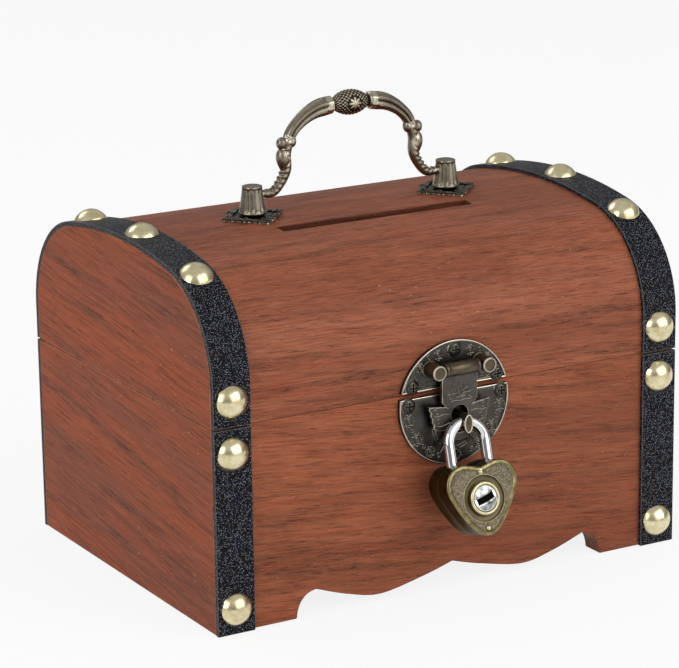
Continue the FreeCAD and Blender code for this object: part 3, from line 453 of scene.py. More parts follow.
# Brass: a yellow rim and ring, a side painted black as shade, a brown dish and a speckled face.
# Screws look black.
brass_rim = plated("antique brass, polished", "#2E2716", "#A3966A", "#E3DAB0", 0.3,
                   cloud=2.0, smutty=0.7)
brass_bright = plated("antique brass, bright ring", "#7A6E48", "#DCD2A8", "#F2EBCC", 0.3)
# Painted shade: the side walls and the back shell of the padlock are painted dark for the shadow they are
# in.
brass_shaded_side = plated("antique brass, side painted dark as shade", "#120E07", "#4C4026", "#8A7B4C", 0.42)
brass_dish = plated("antique brass, turned dish", "#1E1912", "#6C624E", "#B9AE92", 0.42)
brass_grain = plated("antique brass, sand-cast face", "#171310", "#8A7F6A", "#C4BAA0", 0.4,
                     cloud=0.5, smutty=0.85, grit=0.5, bite=0.5)
screw_black = plated("blackened screw steel", "#0C0C0B", "#4A4843", "#A39C8E", 0.42, reach=0.6)
print("plated metals:", sum(m.name.startswith(("antique", "blackened")) for m in bpy.data.materials))

# %% [markdown]
# ### Bright metals
# The tacks are polished pale brass, the shackle and the lock plug are chromed, the hidden pins are
# plain steel. Polish shows as low roughness; faint clouds in it keep the domes from looking like
# plastic.


# %% Bright metals
def polished(name, bright, dull, low, high, cloud):
    """Polished metal whose polish varies a little over a few millimetres."""
    finish, tree, shader, place = new_finish(name)
    haze = add(tree, "TexNoise", {"Vector": place, "Scale": 1 / (cloud * MM), "Detail": 4.0})
    share = add(tree, "MapRange", [haze, 0.35, 0.7])
    tone = add(tree, "Mix", {0: share, COLOUR_A: bright, COLOUR_B: dull}, **COLOURS)
    gloss = add(tree, "MapRange", [share, 0, 1, low, high])
    fill(tree, shader, {"Base Color": tone, "Roughness": gloss, "Metallic": 1.0})
    return finish


# Tacks mirror the room in warm cream, chrome cold and sharp; the plug has dark patches painted in
# as reflections, and steel is only satin.
tack_brass = polished("polished pale brass", "#E8DEBA", "#CDBE90", 0.2, 0.32, 2.0)
# Painted reflection: the dark colour in the plug's chrome stands in for the black reflections on its face.
plug_chrome_dark_reflections = polished("chrome with painted dark reflections", "#DCDCD8", "#45433F", 0.12, 0.3, 1.6)
chrome = polished("polished chrome", "#E6E7E8", "#D2D4D6", 0.05, 0.11, 3.0)
steel = polished("plain bright steel", "#A8A8A6", "#8C8C8A", 0.28, 0.42, 1.0)

# The slot of the plug is painted as shade, near black, so it reads as a black hole.
dark_bore, tree, shader, place = new_finish("unlit keyway")
shade_mottle = add(tree, "TexNoise", {"Vector": place, "Scale": 1 / (0.4 * MM)})
tone = add(tree, "Mix", {0: shade_mottle, COLOUR_A: "#020202", COLOUR_B: "#080807"}, **COLOURS)
fill(tree, shader, {"Base Color": tone, "Roughness": 0.9, "Specular IOR Level": 0.1})
print("bright metals:", tack_brass.name, "|", chrome.name, "|", steel.name)

# %% [markdown]
# ## Boards of the box
# Two end boards stand at the sides. Front and back sit between them, and their lower edges are
# sawn to a bracket curve that leaves two feet. A cube would miss that curve, so each board is an
# outline with a wall round it, and a small bevel stands for the sanding.

# %% Box boards
APRON_PEAK, APRON_LOBE, APRON_COVE, APRON_FOOT = (0, 7.0), (22.5, 2.0), (42.5, 7.2), 48.4
scallop = smooth([APRON_PEAK, (9.0, 4.5), APRON_LOBE, (32.5, 3.8), APRON_COVE], 10)
cove = smooth([APRON_COVE, (45.0, 6.4), (46.9, 4.7), (47.9, 2.6), (APRON_FOOT, 0)], 5)[1:]
right_edge = [(p.x, p.y) for p in scallop + cove]
apron = [(-x, z) for x, z in reversed(right_edge[1:])] + right_edge
panel_outline = apron + [(INNER_W, 0), (INNER_W, SEAM), (-INNER_W, SEAM), (-INNER_W, 0)]
for name, y0 in (("front_panel", -HALF_D), ("back_panel", HALF_D - BOARD)):
    piece(name + "_wood", plate(panel_outline, y0, y0 + BOARD), "box",
          [wood_long], [name], edge=0.35)


def end_boards(left, right, outline, body):
    """Two end boards from one outline of (y, z) points, with rubbed edges."""
    for name, x0 in ((left, -HALF_W), (right, INNER_W)):
        board = skin([[(x, y, z) for y, z in outline] for x in (x0, x0 + BOARD)])
        piece(name + "_wood", board, body, [wood_end, wood_worn], [name], edge=0.45,
              worn=True)


side_outline = [(-HALF_D, 0), (HALF_D, 0), (HALF_D, SEAM), (-HALF_D, SEAM)]
end_boards("left_side", "right_side", side_outline, "box")

# %% [markdown]
# ## Domed lid
# The lid is a bent plywood skin between two solid ends: an upright wall, a tight corner and a flat
# crown. The skin is one sheet over that section with the coin slot left out, and Solidify gives it
# its 5 mm, so the slot gets its own walls, painted nearly black as shade.

# %% Lid boards
SPRING = SEAM + 10.4
CORNER_R, CROWN_R = 27.4, 160.0
CORNER_Y = HALF_D - CORNER_R
CROWN_Z = LID_TOP - CROWN_R
LID_WALL = 5.0
SLOT_HALF, SLOT_Y, SLOT_W = 30.0, -13.7, 4.2


def crown(y, grow=0.0):
    """Height of the lid's crown."""
    return CROWN_Z + sqrt((CROWN_R + grow) ** 2 - y * y)


def dome(grow=0.0, steps=24, breaks=()):
    """Lid outline as (y, z), from the front seam over the top to the back seam."""
    lean = atan2(SPRING - CROWN_Z, CORNER_Y)
    reach = CORNER_R + grow
    rise = [(-HALF_D - grow, z) for z in spread(SEAM, SPRING, 3)[:-1]]
    for turn in spread(0, lean, steps):
        rise.append((-CORNER_Y - reach * cos(turn), SPRING + reach * sin(turn)))
    tip = rise[-1][0]
    tops = sorted([*spread(tip, -tip, steps)[1:-1], *breaks])
    return rise + [(y, crown(y, grow)) for y in tops] + [(-y, z) for y, z in reversed(rise)]


slot_sides = (SLOT_Y - SLOT_W / 2, SLOT_Y + SLOT_W / 2)
section = dome(breaks=slot_sides)
slot_row, slot_end = (section.index((y, crown(y))) for y in slot_sides)
rows = [[(x, y, z) for x in (-INNER_W, -SLOT_HALF, SLOT_HALF, INNER_W)] for y, z in section]
skin_sheet = sheet(rows, lambda r, c: c == 1 and slot_row <= r < slot_end)
# The rim of the skin, and so the walls of the coin slot, takes the wood painted dark as shade.
piece("lid_skin_wood", skin_sheet, "lid", [wood_lid, wood_slot_shade], ["lid_skin"],
      thick=LID_WALL, rim=1, edge=0.3)
end_boards("lid_left_end", "lid_right_end", dome(), "lid")

# %% [markdown]
# ## Straps
# Each strap is a ribbon of leatherette, cut by hand, so its edges wander a little. It runs from
# seam to seam over the lid, and a short one covers each corner of the box. The edge that the bevel
# breaks takes the cut-edge finish.

# %% Straps
STRAP_GAP, STRAY, STRAY_TURNS = 0.25, 0.14, 0.09


def strap(name, path, x0, x1, body):
    """Ribbon along a path of (y, z) between two X positions."""
    rows = []
    for y, z in path:
        row = [(x, y, z) for x in spread(x0, x1, 6)]
        inner = 6 if x0 < 0 else 0
        stray = noise.noise(Vector((x0 + inner, y * STRAY_TURNS, z * STRAY_TURNS)))
        row[inner] = (row[inner][0] + STRAY * stray, y, z)
        rows.append(row)
    piece(name + "_leather", sheet(rows), body, [leatherette, raw_edge], [name],
          thick=STRAP_T, edge=0.18, worn=True)


over = dome(STRAP_T, 32)
over[0] = (over[0][0], SEAM + STRAP_GAP)
over[-1] = (over[-1][0], SEAM + STRAP_GAP)
for side, x0, x1 in (("left", -HALF_W, -STRAP_X), ("right", STRAP_X, HALF_W)):
    strap("lid_" + side + "_strap", over, x0, x1, "lid")
    up = spread(0, SEAM - STRAP_GAP, 16)
    strap("front_" + side + "_strap", [(-HALF_D - STRAP_T, z) for z in up], x0, x1, "box")
    strap("back_" + side + "_strap", [(HALF_D + STRAP_T, z) for z in reversed(up)], x0, x1, "box")

# %% [markdown]
# ## Tacks
# Pressed brass domes nail the straps down. Each is a cap of a sphere with a thin turned-in edge,
# so a lathe profile gives it, and a slow noise dents it a few hundredths of a millimetre, as a
# hammer does. The top ones stand square to the dome of the lid.

# %% Tacks
TACK_R, TACK_H, TACK_DENT = 4.6, 2.9, 0.05
TACK_X, TACK_Y, TACK_LOW, TACK_OFF_SEAM = 67.0, HALF_D + STRAP_T, 6.8, 7.0
TACK_TOPS = (-36.0, -4.5, 27.0)
ball_r = (TACK_R ** 2 + TACK_H ** 2) / (2 * TACK_H)
tack_profile = []
for turn in spread(0, asin(TACK_R / ball_r), 14):
    tack_profile.append((max(ball_r * sin(turn), 0.02), TACK_H - ball_r * (1 - cos(turn))))
tack_profile += [(TACK_R - 0.05, -0.12), (TACK_R - 0.4, -0.25)]


def dome_point(y, grow):
    """Height and outward normal on the lid's crown, or past it on a corner."""
    middle, base, radius = 0.0, CROWN_Z, CROWN_R
    if abs(y) > CORNER_Y * CROWN_R / (CROWN_R - CORNER_R):
        middle, base, radius = copysign(CORNER_Y, y), SPRING, CORNER_R
    rise = sqrt((radius + grow) ** 2 - (y - middle) ** 2)
    return base + rise, (0, y - middle, rise)


def tack(point, up, seed):
    """One tack on its strap, a little dented."""
    verts, faces, marks = skin(lathe(tack_profile))
    for v in verts:
        if v.z > 0.2:
            v.z += TACK_DENT * noise.noise(v * 0.35 + Vector((seed * 7.3, 0, 0)))
    return stood((verts, faces, marks), point, up)


box_places, lid_places = [], []
for x in (-TACK_X, TACK_X):
    for facing in (-1, 1):
        for z in (TACK_LOW, SEAM - TACK_OFF_SEAM):
            box_places.append(((x, facing * TACK_Y, z), (0, facing, 0)))
        lid_places.append(((x, facing * TACK_Y, SEAM + TACK_OFF_SEAM), (0, facing, 0)))
    for y in TACK_TOPS:
        z, up = dome_point(y, STRAP_T)
        lid_places.append(((x, y, z), up))
for body, places in (("box", box_places), ("lid", lid_places)):
    nails = merge(*[tack(point, up, seed) for seed, (point, up) in enumerate(places)])
    piece(body + "_tack_heads", nails, body, [tack_brass], [body + "_tacks"], angle=50)

# %% [markdown]
# ## Latch plates
# A round pressed plate is cut in two at the seam. Each half is a sheet of rows across the disc;
# the upper one leans back where the lid starts to curve. Roses and scrolls are pressed into it, so
# they are real ridges: thin tubes half sunk in the face. A worn bead runs round the edge, and its
# pale colour is partly a painted highlight.

# %% Latch plates
LATCH_R, LATCH_Z, LATCH_T, LATCH_SPLIT, COLLAR_Z = 17.0, 52.4, 1.2, 0.8, 46.2
RIM_BEAD, BEAD_BED, BEAD_SUNK, SUNK_BELOW, SUNK_OVER = 0.19, 0.05, 0.16, 44.0, 3.5


def plate_y(z):
    """Front of the latch plate at a height: flat on the wall, then round the lid's corner."""
    if z <= SPRING:
        return PLATE_Y
    return -CORNER_Y - sqrt((CORNER_R + LATCH_T) ** 2 - (z - SPRING) ** 2)


def half_disc(low, high, tip=0.9995):
    """Rows across the disc between two heights; the last one stops just short of the tip."""
    a0, a1 = (asin(max(-tip, min(tip, (z - LATCH_Z) / LATCH_R))) for z in (low, high))
    rows = []
    for turn in spread(a0, a1, 28):
        half, z = LATCH_R * cos(turn), LATCH_Z + LATCH_R * sin(turn)
        rows.append([(x, plate_y(z), z) for x in spread(-half, half, 16)])
    return sheet(rows)


def rim_bead(low, high):
    """Worn bead with a painted highlight along the edge of a half plate, sunk where the padlock swings
    against it.
    """
    reach = LATCH_R - RIM_BEAD
    hand, cut = (1, low + RIM_BEAD) if low > LATCH_Z else (-1, high - RIM_BEAD)
    start = degrees(asin((cut - LATCH_Z) / reach))
    line = [round_at(0, LATCH_Z, reach, a) for a in spread(start, 180 * hand - start, 60)]
    line += [(x, cut) for x in spread(line[-1][0], line[0][0], 16)[1:-1]]
    path = []
    for x, z in line:
        sunk = BEAD_SUNK * max(0.0, min(1.0, (SUNK_BELOW - z) / SUNK_OVER))
        path.append((x, plate_y(z) + BEAD_BED + sunk, z))
    verts, faces, marks = tube(path, RIM_BEAD, loop=True)
    return verts, faces, [1] * len(marks)


def ridge(points, size):
    """Pressed line on the plates through (x, z) points."""
    return tube([(p.x, plate_y(p.y), p.y) for p in smooth(points, 4)], size, 6)


def curl(x, z, size, start, rounds, hand=1):
    """Points of a small scroll that winds in to its middle."""
    steps = 8 * rounds
    return [round_at(x, z, size * (1 - 0.85 * n / steps), start + 45 * hand * n)
            for n in range(int(steps) + 1)]


PETAL = ((-24, 0.82), (-9, 1.02), (9, 1.02), (24, 0.82))


def rose(x, z, size):
    """Little pressed rose: a scroll, a ring and petals round them."""
    parts = [ridge(curl(x, z, size * 0.42, 40, 1.4), 0.14)]
    parts.append(ridge([round_at(x, z, 0.68 * size, a) for a in range(0, 361, 30)], 0.13))
    for n in range(7):
        turn = 360 / 7 * n + 15
        parts.append(ridge([round_at(x, z, k * size, turn + d) for d, k in PETAL], 0.14))
    return merge(*parts)


lower = [rose(*at) for at in ((14.2, 49.2, 1.75), (11.8, 43.7, 1.75), (7.6, 39.7, 1.5))]
for x, z, start in ((13.3, 46.5, 100), (9.8, 41.4, 60), (5.2, 38.2, 60)):
    lower.append(ridge(curl(x, z, 0.8, start, 1.2), 0.14))
for size in (6.2, 7.0):
    lower.append(ridge([round_at(0, COLLAR_Z, size, a) for a in range(-88, 60, 12)], 0.16))
for a in range(-80, 49, 16):
    lower.append(ridge(curl(*round_at(0, COLLAR_Z, 6.6, a), 0.42, 0, 1.0), 0.13))
lower.append(ridge([(2.6, 36.9), (1.4, 37.7), (0.0, 37.3)], 0.14))
upper = [rose(*at) for at in ((5.0, 66.0, 1.4), (10.6, 63.2, 1.3))]
for x, z, start in ((12.2, 60.6, 200), (8.0, 65.6, 20)):
    upper.append(ridge(curl(x, z, 0.8, start, 1.2), 0.13))
for n in range(4):
    upper.append(ridge(curl(6.6 + 1.9 * n, 58.6, 0.75, 180, 1.2, -1 if n % 2 else 1), 0.13))
upper.append(ridge([(5.9, 57.6), (8.0, 57.4), (10.0, 57.6), (13.0, 57.4)], 0.13))
for name, half, body, low, high in (
    ("lower_latch_plate", lower, "box", LATCH_Z - LATCH_R, SEAM - LATCH_SPLIT),
    ("upper_latch_plate", upper, "lid", SEAM + LATCH_SPLIT, LATCH_Z + LATCH_R),
):
    piece(name + "_pressing", half_disc(low, high), body, [bronze_dark], [name],
          thick=LATCH_T)
    piece(name + "_ornament", merge(both(merge(*half)), rim_bead(low, high)), body,
          [bronze_relief, bronze_worn_lit_edge])

# %% [markdown]
# ## Posts, staple and hasp
# Two turned posts on the upper plate hold the pin of the hasp; their ends are dished. The rim is worn
# and painted bright as a highlight, and the middle stays brown. The staple is the oval eye that the
# shackle passes through. Its CAD shape is right, so it stays, and a thin rim with a painted
# highlight is laid on its end.

# %% Posts and staple
POST_X, POST_R, POST_L, PIN_Z = 7.8, 2.1, 5.6, 62.6
POST_DISH_R, POST_DISH = POST_R - 0.55, POST_L - 0.25
post_wall = [(POST_R, -0.6), (POST_R + 0.25, 0.0), (POST_R + 0.25, 0.3), (POST_R, 0.5),
             (POST_R, POST_L - 0.35), (POST_R - 0.1, POST_L - 0.1), (POST_R - 0.28, POST_L),
             (POST_R - 0.45, POST_L - 0.03), (POST_DISH_R, POST_DISH), (0.05, POST_DISH)]
post = banded(lathe(post_wall, 32), ((0, 1), (4, 0), (8, 1)))
posts = merge(*[stood(post, (x, PLATE_Y, PIN_Z), (0, -1, 0)) for x in (-POST_X, POST_X)])
piece("latch_posts", posts, "lid", [bronze_worn_lit_edge, bronze_brown], angle=50)

STAPLE_Z, STAPLE_END = 48.0, span("staple")[0].y
STAPLE_EYE_Y = STAPLE_END + 2.5
STAPLE_HALF_W, STAPLE_HALF_H, STAPLE_RIM = 1.35, 2.6, 0.2
rim_line = []
for x, rise in (round_at(0, 0, 1, a) for a in range(0, 360, 9)):
    rim_line.append((x * (STAPLE_HALF_W - STAPLE_RIM), STAPLE_END + 0.05,
                     STAPLE_Z + rise * (STAPLE_HALF_H - STAPLE_RIM)))
# Painted highlight: the pale rim on the staple's end stands in for the bright line on its edge.
piece("staple_rim", tube(rim_line, STAPLE_RIM, loop=True), "box", [bronze_worn_lit_edge], angle=60)

# %% [markdown]
# ### Hasp
# The hasp is a stamped leaf with scalloped wings and a ribbon tail, rolled round its pin and
# pierced like a keyhole. Half of it is drawn and mirrored, so the keyhole needs no Boolean cut. The
# palmette and scrolls engraved on it are thin ridges here.

# %% Hasp
HASP_FRONT, HASP_BACK = PLATE_Y - 2.7, PLATE_Y - 1.5
HASP_PIN_Y, HASP_HALF, TUBE_R = PLATE_Y - 3.4, 5.5, 1.9
EYE_R, EYE_Z, EYE_LOW = 2.6, 49.6, 44.6
WING_TOP, WING_LOW, SCALLOPS, SCALLOP_OUT = Vector((9.3, 52.8)), Vector((7.5, 46.0)), 4, 0.45
TAIL_TOP, TAIL_WAIST, TAIL_TIP, TAIL_CROTCH = (4.6, 45.6), (3.4, 43.6), (6.1, 39.8), (2.2, 42.9)


def bowed(start, end, out, steps=5):
    """Points from start towards end on a curve that bows out along X."""
    line = zip(spread(Vector(start), Vector(end), steps), spread(0, pi, steps))
    return [(at.x + out * sin(turn), at.y) for at, turn in line][:-1]


leaf = [(0, PIN_Z), (HASP_HALF, PIN_Z), (HASP_HALF, 53.4), (HASP_HALF - 1.2, 52.2)]
wing = spread(WING_TOP, WING_LOW, SCALLOPS)
for above, below in zip(wing, wing[1:]):
    leaf += bowed(above, below, SCALLOP_OUT)
leaf += [tuple(WING_LOW)] + bowed(TAIL_TOP, TAIL_WAIST, -0.28) + bowed(TAIL_WAIST, TAIL_TIP, 0.28)
leaf += bowed(TAIL_TIP, TAIL_CROTCH, 0.14) + [TAIL_CROTCH, (0, 42.4)]
key_edge = [(0, EYE_LOW), (EYE_R * 0.8, EYE_LOW)]
key_edge += [round_at(0, EYE_Z, EYE_R, a) for a in spread(-36.87, 90, 10)]
half_leaf = leaf + key_edge
count = len(half_leaf)
verts = [Vector((x, y, z)) for y in (HASP_BACK, HASP_FRONT) for x, z in half_leaf]
faces = [tuple(range(count)), tuple(reversed(range(count, 2 * count)))]
for n in range(count):
    m = (n + 1) % count
    if half_leaf[n][0] > 1e-6 or half_leaf[m][0] > 1e-6:
        faces.append((n, m, count + m, count + n))
stamped = both((verts, faces, [0] * len(faces)))
piece("hasp_leaf", stamped, "hasp", [bronze_relief, bronze_worn_lit_edge], ["hasp"], edge=0.16,
      worn=True)
roll = [(TUBE_R, 4.2), (TUBE_R - 0.16, 4.35), (TUBE_R, 4.5), (TUBE_R, HASP_HALF - 0.3),
        (TUBE_R - 0.35, HASP_HALF)]
roll = [(r, -x) for r, x in reversed(roll)] + roll
across = Matrix.Translation((0, HASP_PIN_Y, PIN_Z)) @ Matrix.Rotation(pi / 2, 4, "Y")
piece("hasp_knuckle", moved(skin(lathe(roll, 32)), across), "hasp", [bronze_brown],
      angle=50)


# %% Hasp engraving
def engraved(points, size=0.13):
    """Ridge on the front of the hasp through (x, z) points."""
    return tube([(p.x, HASP_FRONT, p.y) for p in smooth(points, 4)], size, 6)


PALM_Z, LEAF_BOW = 54.5, 0.55
SCROLLS = ((3.1, 54.7, 1.1, -60, 1.4), (7.2, 51.3, 0.9, 150, 1.3), (6.7, 48.4, 0.9, -120, 1.3, -1))
LINES = (((0, 53.3), (1.4, 53.6), (2.8, 53.5), (3.7, 53.9)),
         ((3.6, 51.7), (5.2, 52.1), (7.2, 52.2), (8.4, 51.7)),
         ((3.4, 50.0), (5.0, 50.3), (6.7, 49.9), (8.2, 50.1)),
         ((3.1, 47.8), (4.6, 47.3), (6.2, 47.1), (7.4, 47.4)),
         ((2.8, 45.4), (3.6, 44.8), (3.8, 45.7), (3.0, 46.6)))
half = [engraved(curl(*scroll)) for scroll in SCROLLS] + [engraved(line) for line in LINES]
for lean, length in ((0, 4.9), (24, 4.4), (48, 3.6), (70, 2.6)):
    tip = Vector(round_at(0, PALM_Z, length, 90 - lean))
    middle = tip.lerp(Vector((0, PALM_Z)), 0.5)
    for bow in (-LEAF_BOW, LEAF_BOW):
        half.append(engraved([(0, PALM_Z), round_at(*middle, bow, -lean), tip], 0.11))
piece("hasp_engraving", both(merge(*half)), "hasp", [bronze_relief])

# %% [markdown]
# ## Handle
# The handle is a cast bail between two fluted posts on square rosettes. Its legs are notched
# outside, a bud and two lobes make a knot, a sleeve of strands swells from it, and the oval grip is
# covered with beads round a star. The bail is one path with rings along it; notches, strands and
# beads are waves in those rings, so nothing is carved by hand.

# %% Handle bail
HANDLE_X, BAIL_Z, BAIL_H = 31.0, LID_TOP + 6.2, 22.5
NOTCH_DEEP, NOTCH_SLANT, STRANDS, STRAND_DEEP = 0.17, 0.95, 7, 0.36
left_half = [(-27.2, 0), (-24.0, 0.5), (-20.6, 5.6), (-20.4, 11.2), (-17.6, 17.2), (-10.5, 21.7)]
centre_line = smooth(left_half + [(0, BAIL_H)] + [(-x, z) for x, z in reversed(left_half)], 24)
centre_line = [Vector((p.x, 0, BAIL_Z + p.y)) for p in centre_line]
lengths = [0.0]
for a, b in zip(centre_line, centre_line[1:]):
    lengths.append(lengths[-1] + (b - a).length)


def bail_point(share):
    """Point on the bail's middle line at a share of its length."""
    want = share * lengths[-1]
    n = max(i for i, length in enumerate(lengths[:-1]) if length <= want)
    return centre_line[n].lerp(centre_line[n + 1], (want - lengths[n]) / (lengths[n + 1] - lengths[n]))


def limb(start, end, radii, steps, lobes=None):
    """Limb of the bail between two shares of its length, through evenly spaced radii."""
    path = [bail_point(share) for share in spread(start, end, steps)]
    sizes = []
    for t in spread(0, len(radii) - 1, steps):
        k = min(int(t), len(radii) - 2)
        sizes.append(radii[k] + (radii[k + 1] - radii[k]) * (t - k))
    return tube(path, sizes, 24, lobes)


def notched(n, turn):
    """Slanting notches on the outer side of a leg that is smooth inside."""
    outer = max(0.0, 0.45 - sin(turn)) / 1.45
    return 1 + NOTCH_DEEP * outer * (cos(2 * turn + NOTCH_SLANT * n) - 0.4)


def strands(n, turn):
    """Rounded strands side by side that fade at the mouth of the sleeve."""
    fade = min(1.0, (n + 2) / 6, (42 - n) / 8)
    return 1 + STRAND_DEEP * (abs(cos(STRANDS / 2 * turn)) - 0.62) * fade


leg = limb(0.0, 0.235, [1.2, 1.4, 1.55, 1.65, 1.6], 80, notched)
sleeve = limb(0.215, 0.425, [1.5, 1.6, 1.75, 2.0, 2.3, 2.5], 40, strands)
cup = limb(0.404, 0.432, [2.2, 2.4, 2.5, 2.45, 2.2, 1.6], 12)
pin = tube([(-27.0, 0, BAIL_Z), (-32.2, 0, BAIL_Z)], 1.1, 20)
bud_line = smooth([(-20.7, 4.2), (-20.9, 6.4), (-21.2, 8.6), (-21.3, 10.6), (-21.0, 12.0)], 6)
bud_size = [0.4 + 1.55 * max(0.0, sin(pi * t ** 1.25)) ** 0.8 for t in spread(0, 1, 24)]
bud = tube([(p.x, 0, BAIL_Z + p.y) for p in bud_line], bud_size, 24)
knot = [ball((-21.6, 0, BAIL_Z + 13.3), 1.6, (0.95, 1, 1.1)),
        ball((-18.6, 0, BAIL_Z + 13.6), 1.55, (0.9, 1, 1.15))]
half_bail = merge(leg, sleeve, cup, pin, bud, *knot)

GRIP_HALF, GRIP_R = 6.6, 3.45
arc_r = (GRIP_HALF ** 2 + GRIP_R ** 2) / (2 * GRIP_R)
BEADS_ROUND, BEAD_STEP, BEAD_H, STAR_R = 17, 1.2, 0.15, 2.5
rings, gaps = [], []
for x in spread(-GRIP_HALF, GRIP_HALF, 120):
    r = sqrt(arc_r ** 2 - x * x) - (arc_r - GRIP_R)
    ring = []
    for turn in turns(192):
        bead = max(0.0, cos(2 * pi * x / BEAD_STEP) * cos(BEADS_ROUND * turn))
        aside = min(turn, 2 * pi - turn, abs(turn - pi)) * GRIP_R
        from_star = hypot(x, aside)
        if from_star < STAR_R:
            point = cos(4 * atan2(aside, x)) ** 2
            bead = 1.4 * max(0.0, 1 - from_star / (1.0 + 1.4 * point))
        swell = max(r, 0.02) + BEAD_H * bead * min(1.0, r / 0.8)
        ring.append((x, -swell * cos(turn), BAIL_Z + BAIL_H + swell * sin(turn)))
        gaps.append(1 if bead < 0.3 else 2)
    rings.append(ring)
grip_verts, grip_faces, _ = skin(rings)
grip = grip_verts, grip_faces, [max(gaps[i] for i in face) for face in grip_faces]
bail = merge(both(half_bail), grip)
piece("bail_casting", bail, "handle", [bronze_cast, bronze_black, bronze_pale],
      ["handle_bail"], angle=60)

# %% [markdown]
# ### Posts and rosettes of the handle
# The posts are tapered and fluted, so their lathe rings are pulled in ten times on the way round.
# The rosette is a square set cornerwise with a filigree rim: loops of wire on a thin base that
# follows the crown of the lid.

# %% Handle posts and rosettes
POST_H, POST_BASE, POST_TOP, POST_FLUTES, FLUTE_DEEP = 7.6, 3.8, 2.75, 10, 0.11
ROSETTE_T, ROSETTE_REACH, ROSETTE_WAVE, ROSETTE_WAVES = 1.4, 8.7, 0.28, 28
post_rings = [(POST_BASE - 0.5, -0.5), (POST_BASE + 0.05, 0.0), (POST_BASE + 0.05, 0.35)]
post_rings += zip(spread(POST_BASE - 0.15, POST_TOP, 16), spread(0.6, POST_H - 0.7, 16))
post_rings += [(POST_TOP + 0.12, POST_H - 0.5), (POST_TOP, POST_H - 0.15), (POST_TOP - 0.5, POST_H),
               (0.05, POST_H)]


def fluted(radius, height, turn):
    """Pulls a ring in at each flute, except at the foot and the cap."""
    fade = max(0.0, min(1.0, (height - 0.5) / 0.8, (POST_H - 0.5 - height) / 0.8))
    return radius * (1 - FLUTE_DEEP * fade * max(0.0, cos(POST_FLUTES * turn)) ** 0.7)


def filigree(points, size, lift=0.55):
    """Wire on the rosette through (x, y) points from its middle, bedded to the crown."""
    path = [(p.x, p.y, ROSETTE_T - lift + crown(p.y) - LID_TOP) for p in smooth(points, 5)]
    return tube(path, size, 6, None, UP)


HALF_WAVE = [(9.2, 0.0), (8.6, 0.9), (7.4, 1.6), (6.6, 2.9), (5.4, 3.7)]
WAVE = HALF_WAVE + [(4.6, 4.6)] + [(y, x) for x, y in reversed(HALF_WAVE)]


def edge_loops(reach=8.9, count=5):
    """Filigree on one side of the square, from one corner to the next."""
    parts = []
    for n in range(count):
        t = (n + 0.5) / count
        for hand in (1, -1):
            aside = 0.245 * hand
            loop = curl(reach * (1 - t) - aside, reach * t + aside, 0.95, 45 + 90 * hand, 1.1, hand)
            parts.append(filigree(loop, 0.2))
    parts.append(filigree(WAVE, 0.26))
    parts.append(filigree(curl(4.6, 4.6, 1.5, 225, 1.3), 0.24, 0.35))
    parts.append(filigree(curl(7.4, 0.0, 1.3, 180, 1.3), 0.24, 0.35))
    return merge(*parts)


base_edge = []
for a in turns(160):
    reach = ROSETTE_REACH / (abs(cos(a)) + abs(sin(a))) + ROSETTE_WAVE * cos(ROSETTE_WAVES * a)
    base_edge.append(reach * Vector((cos(a), sin(a), 0)))
base_rings = []
for scale, lift in ((1.0, 0.0), (1.0, 0.5), (0.96, 0.7), (0.82, 0.55), (0.4, 0.7)):
    base_rings.append([(p.x * scale, p.y * scale, lift + crown(p.y * scale) - LID_TOP) for p in base_edge])
base = banded(base_rings, ((0, 1), (2, 0)))
wires = merge(*[moved(edge_loops(), Matrix.Rotation(pi / 2 * n, 4, "Z")) for n in range(4)])
for side, x in (("left", -HANDLE_X), ("right", HANDLE_X)):
    seat = Matrix.Translation((x, 0, LID_TOP))
    piece(side + "_rosette_casting", moved(base, seat), "lid", [bronze_dark, bronze_pale],
          [side + "_rosette"], angle=50)
    piece(side + "_rosette_filigree", moved(wires, seat), "lid", [bronze_relief], angle=50)
    turning = moved(skin(lathe(post_rings, 80, fluted)), seat @ Matrix.Translation((0, 0, ROSETTE_T)))
    piece(side + "_post_turning", turning, "lid", [bronze_cast], [side + "_handle_post"],
          angle=50)

# %% [markdown]
# ## Padlock
# A small heart padlock of two pressed brass shells hangs on the staple. The front has a double
# rim, a grainy sunk face and a round dish for the plug. Offsetting the heart inward gives the rim,
# and from face to dish the rings change from heart to circle. It rests with its foot swung out, so
# it is built upright and carried by one matrix.

# %% Padlock shells
LOCK_TILT, LOCK_T, LOCK_TOP, LOCK_TIP, LOCK_HALF, PLUG_Z = -15.5, 10.2, -5.4, -24.9, 10.9, -15.0
BOW_R, FACE_INSET, FACE_DEEP, DISH_R, DISH_DEEP, EDGE_R = 5.6, 1.25, 0.45, 6.2, 0.5, 0.65
hang = (Matrix.Translation((0, STAPLE_EYE_Y, STAPLE_Z)) @ Matrix.Rotation(radians(LOCK_TILT), 4, "X")
        @ Matrix.Translation((0, 0, -BOW_R)))
heart_half = ((0.0, 0.056), (0.28, 0.018), (0.53, 0.0), (0.8, 0.05), (0.97, 0.18), (1.0, 0.3), (0.92, 0.45),
              (0.62, 0.738), (0.3, 0.935))
heart = [(x * LOCK_HALF, LOCK_TOP + z * (LOCK_TIP - LOCK_TOP)) for x, z in heart_half]
heart = heart + [(0, LOCK_TIP)] + [(-x, z) for x, z in reversed(heart[1:])]
heart = [Vector((p.x, p.y)) for p in smooth(heart, 10, closed=True)]


def inset(distance):
    """Heart outline moved inward."""
    count = len(heart)
    line = []
    for n in range(count):
        run = (heart[(n + 1) % count] - heart[n - 1]).normalized()
        line.append(heart[n] + Vector((run.y, -run.x)) * distance)
    return line


def level(line, y):
    """Outline of (x, z) points at a depth."""
    return [(p.x, y, p.y) for p in line]


def round_the_plug(radius):
    """Circle about the plug whose points face the heart's points."""
    middle = Vector((0, PLUG_Z))
    return [middle + (p - middle).normalized() * radius for p in inset(FACE_INSET)]


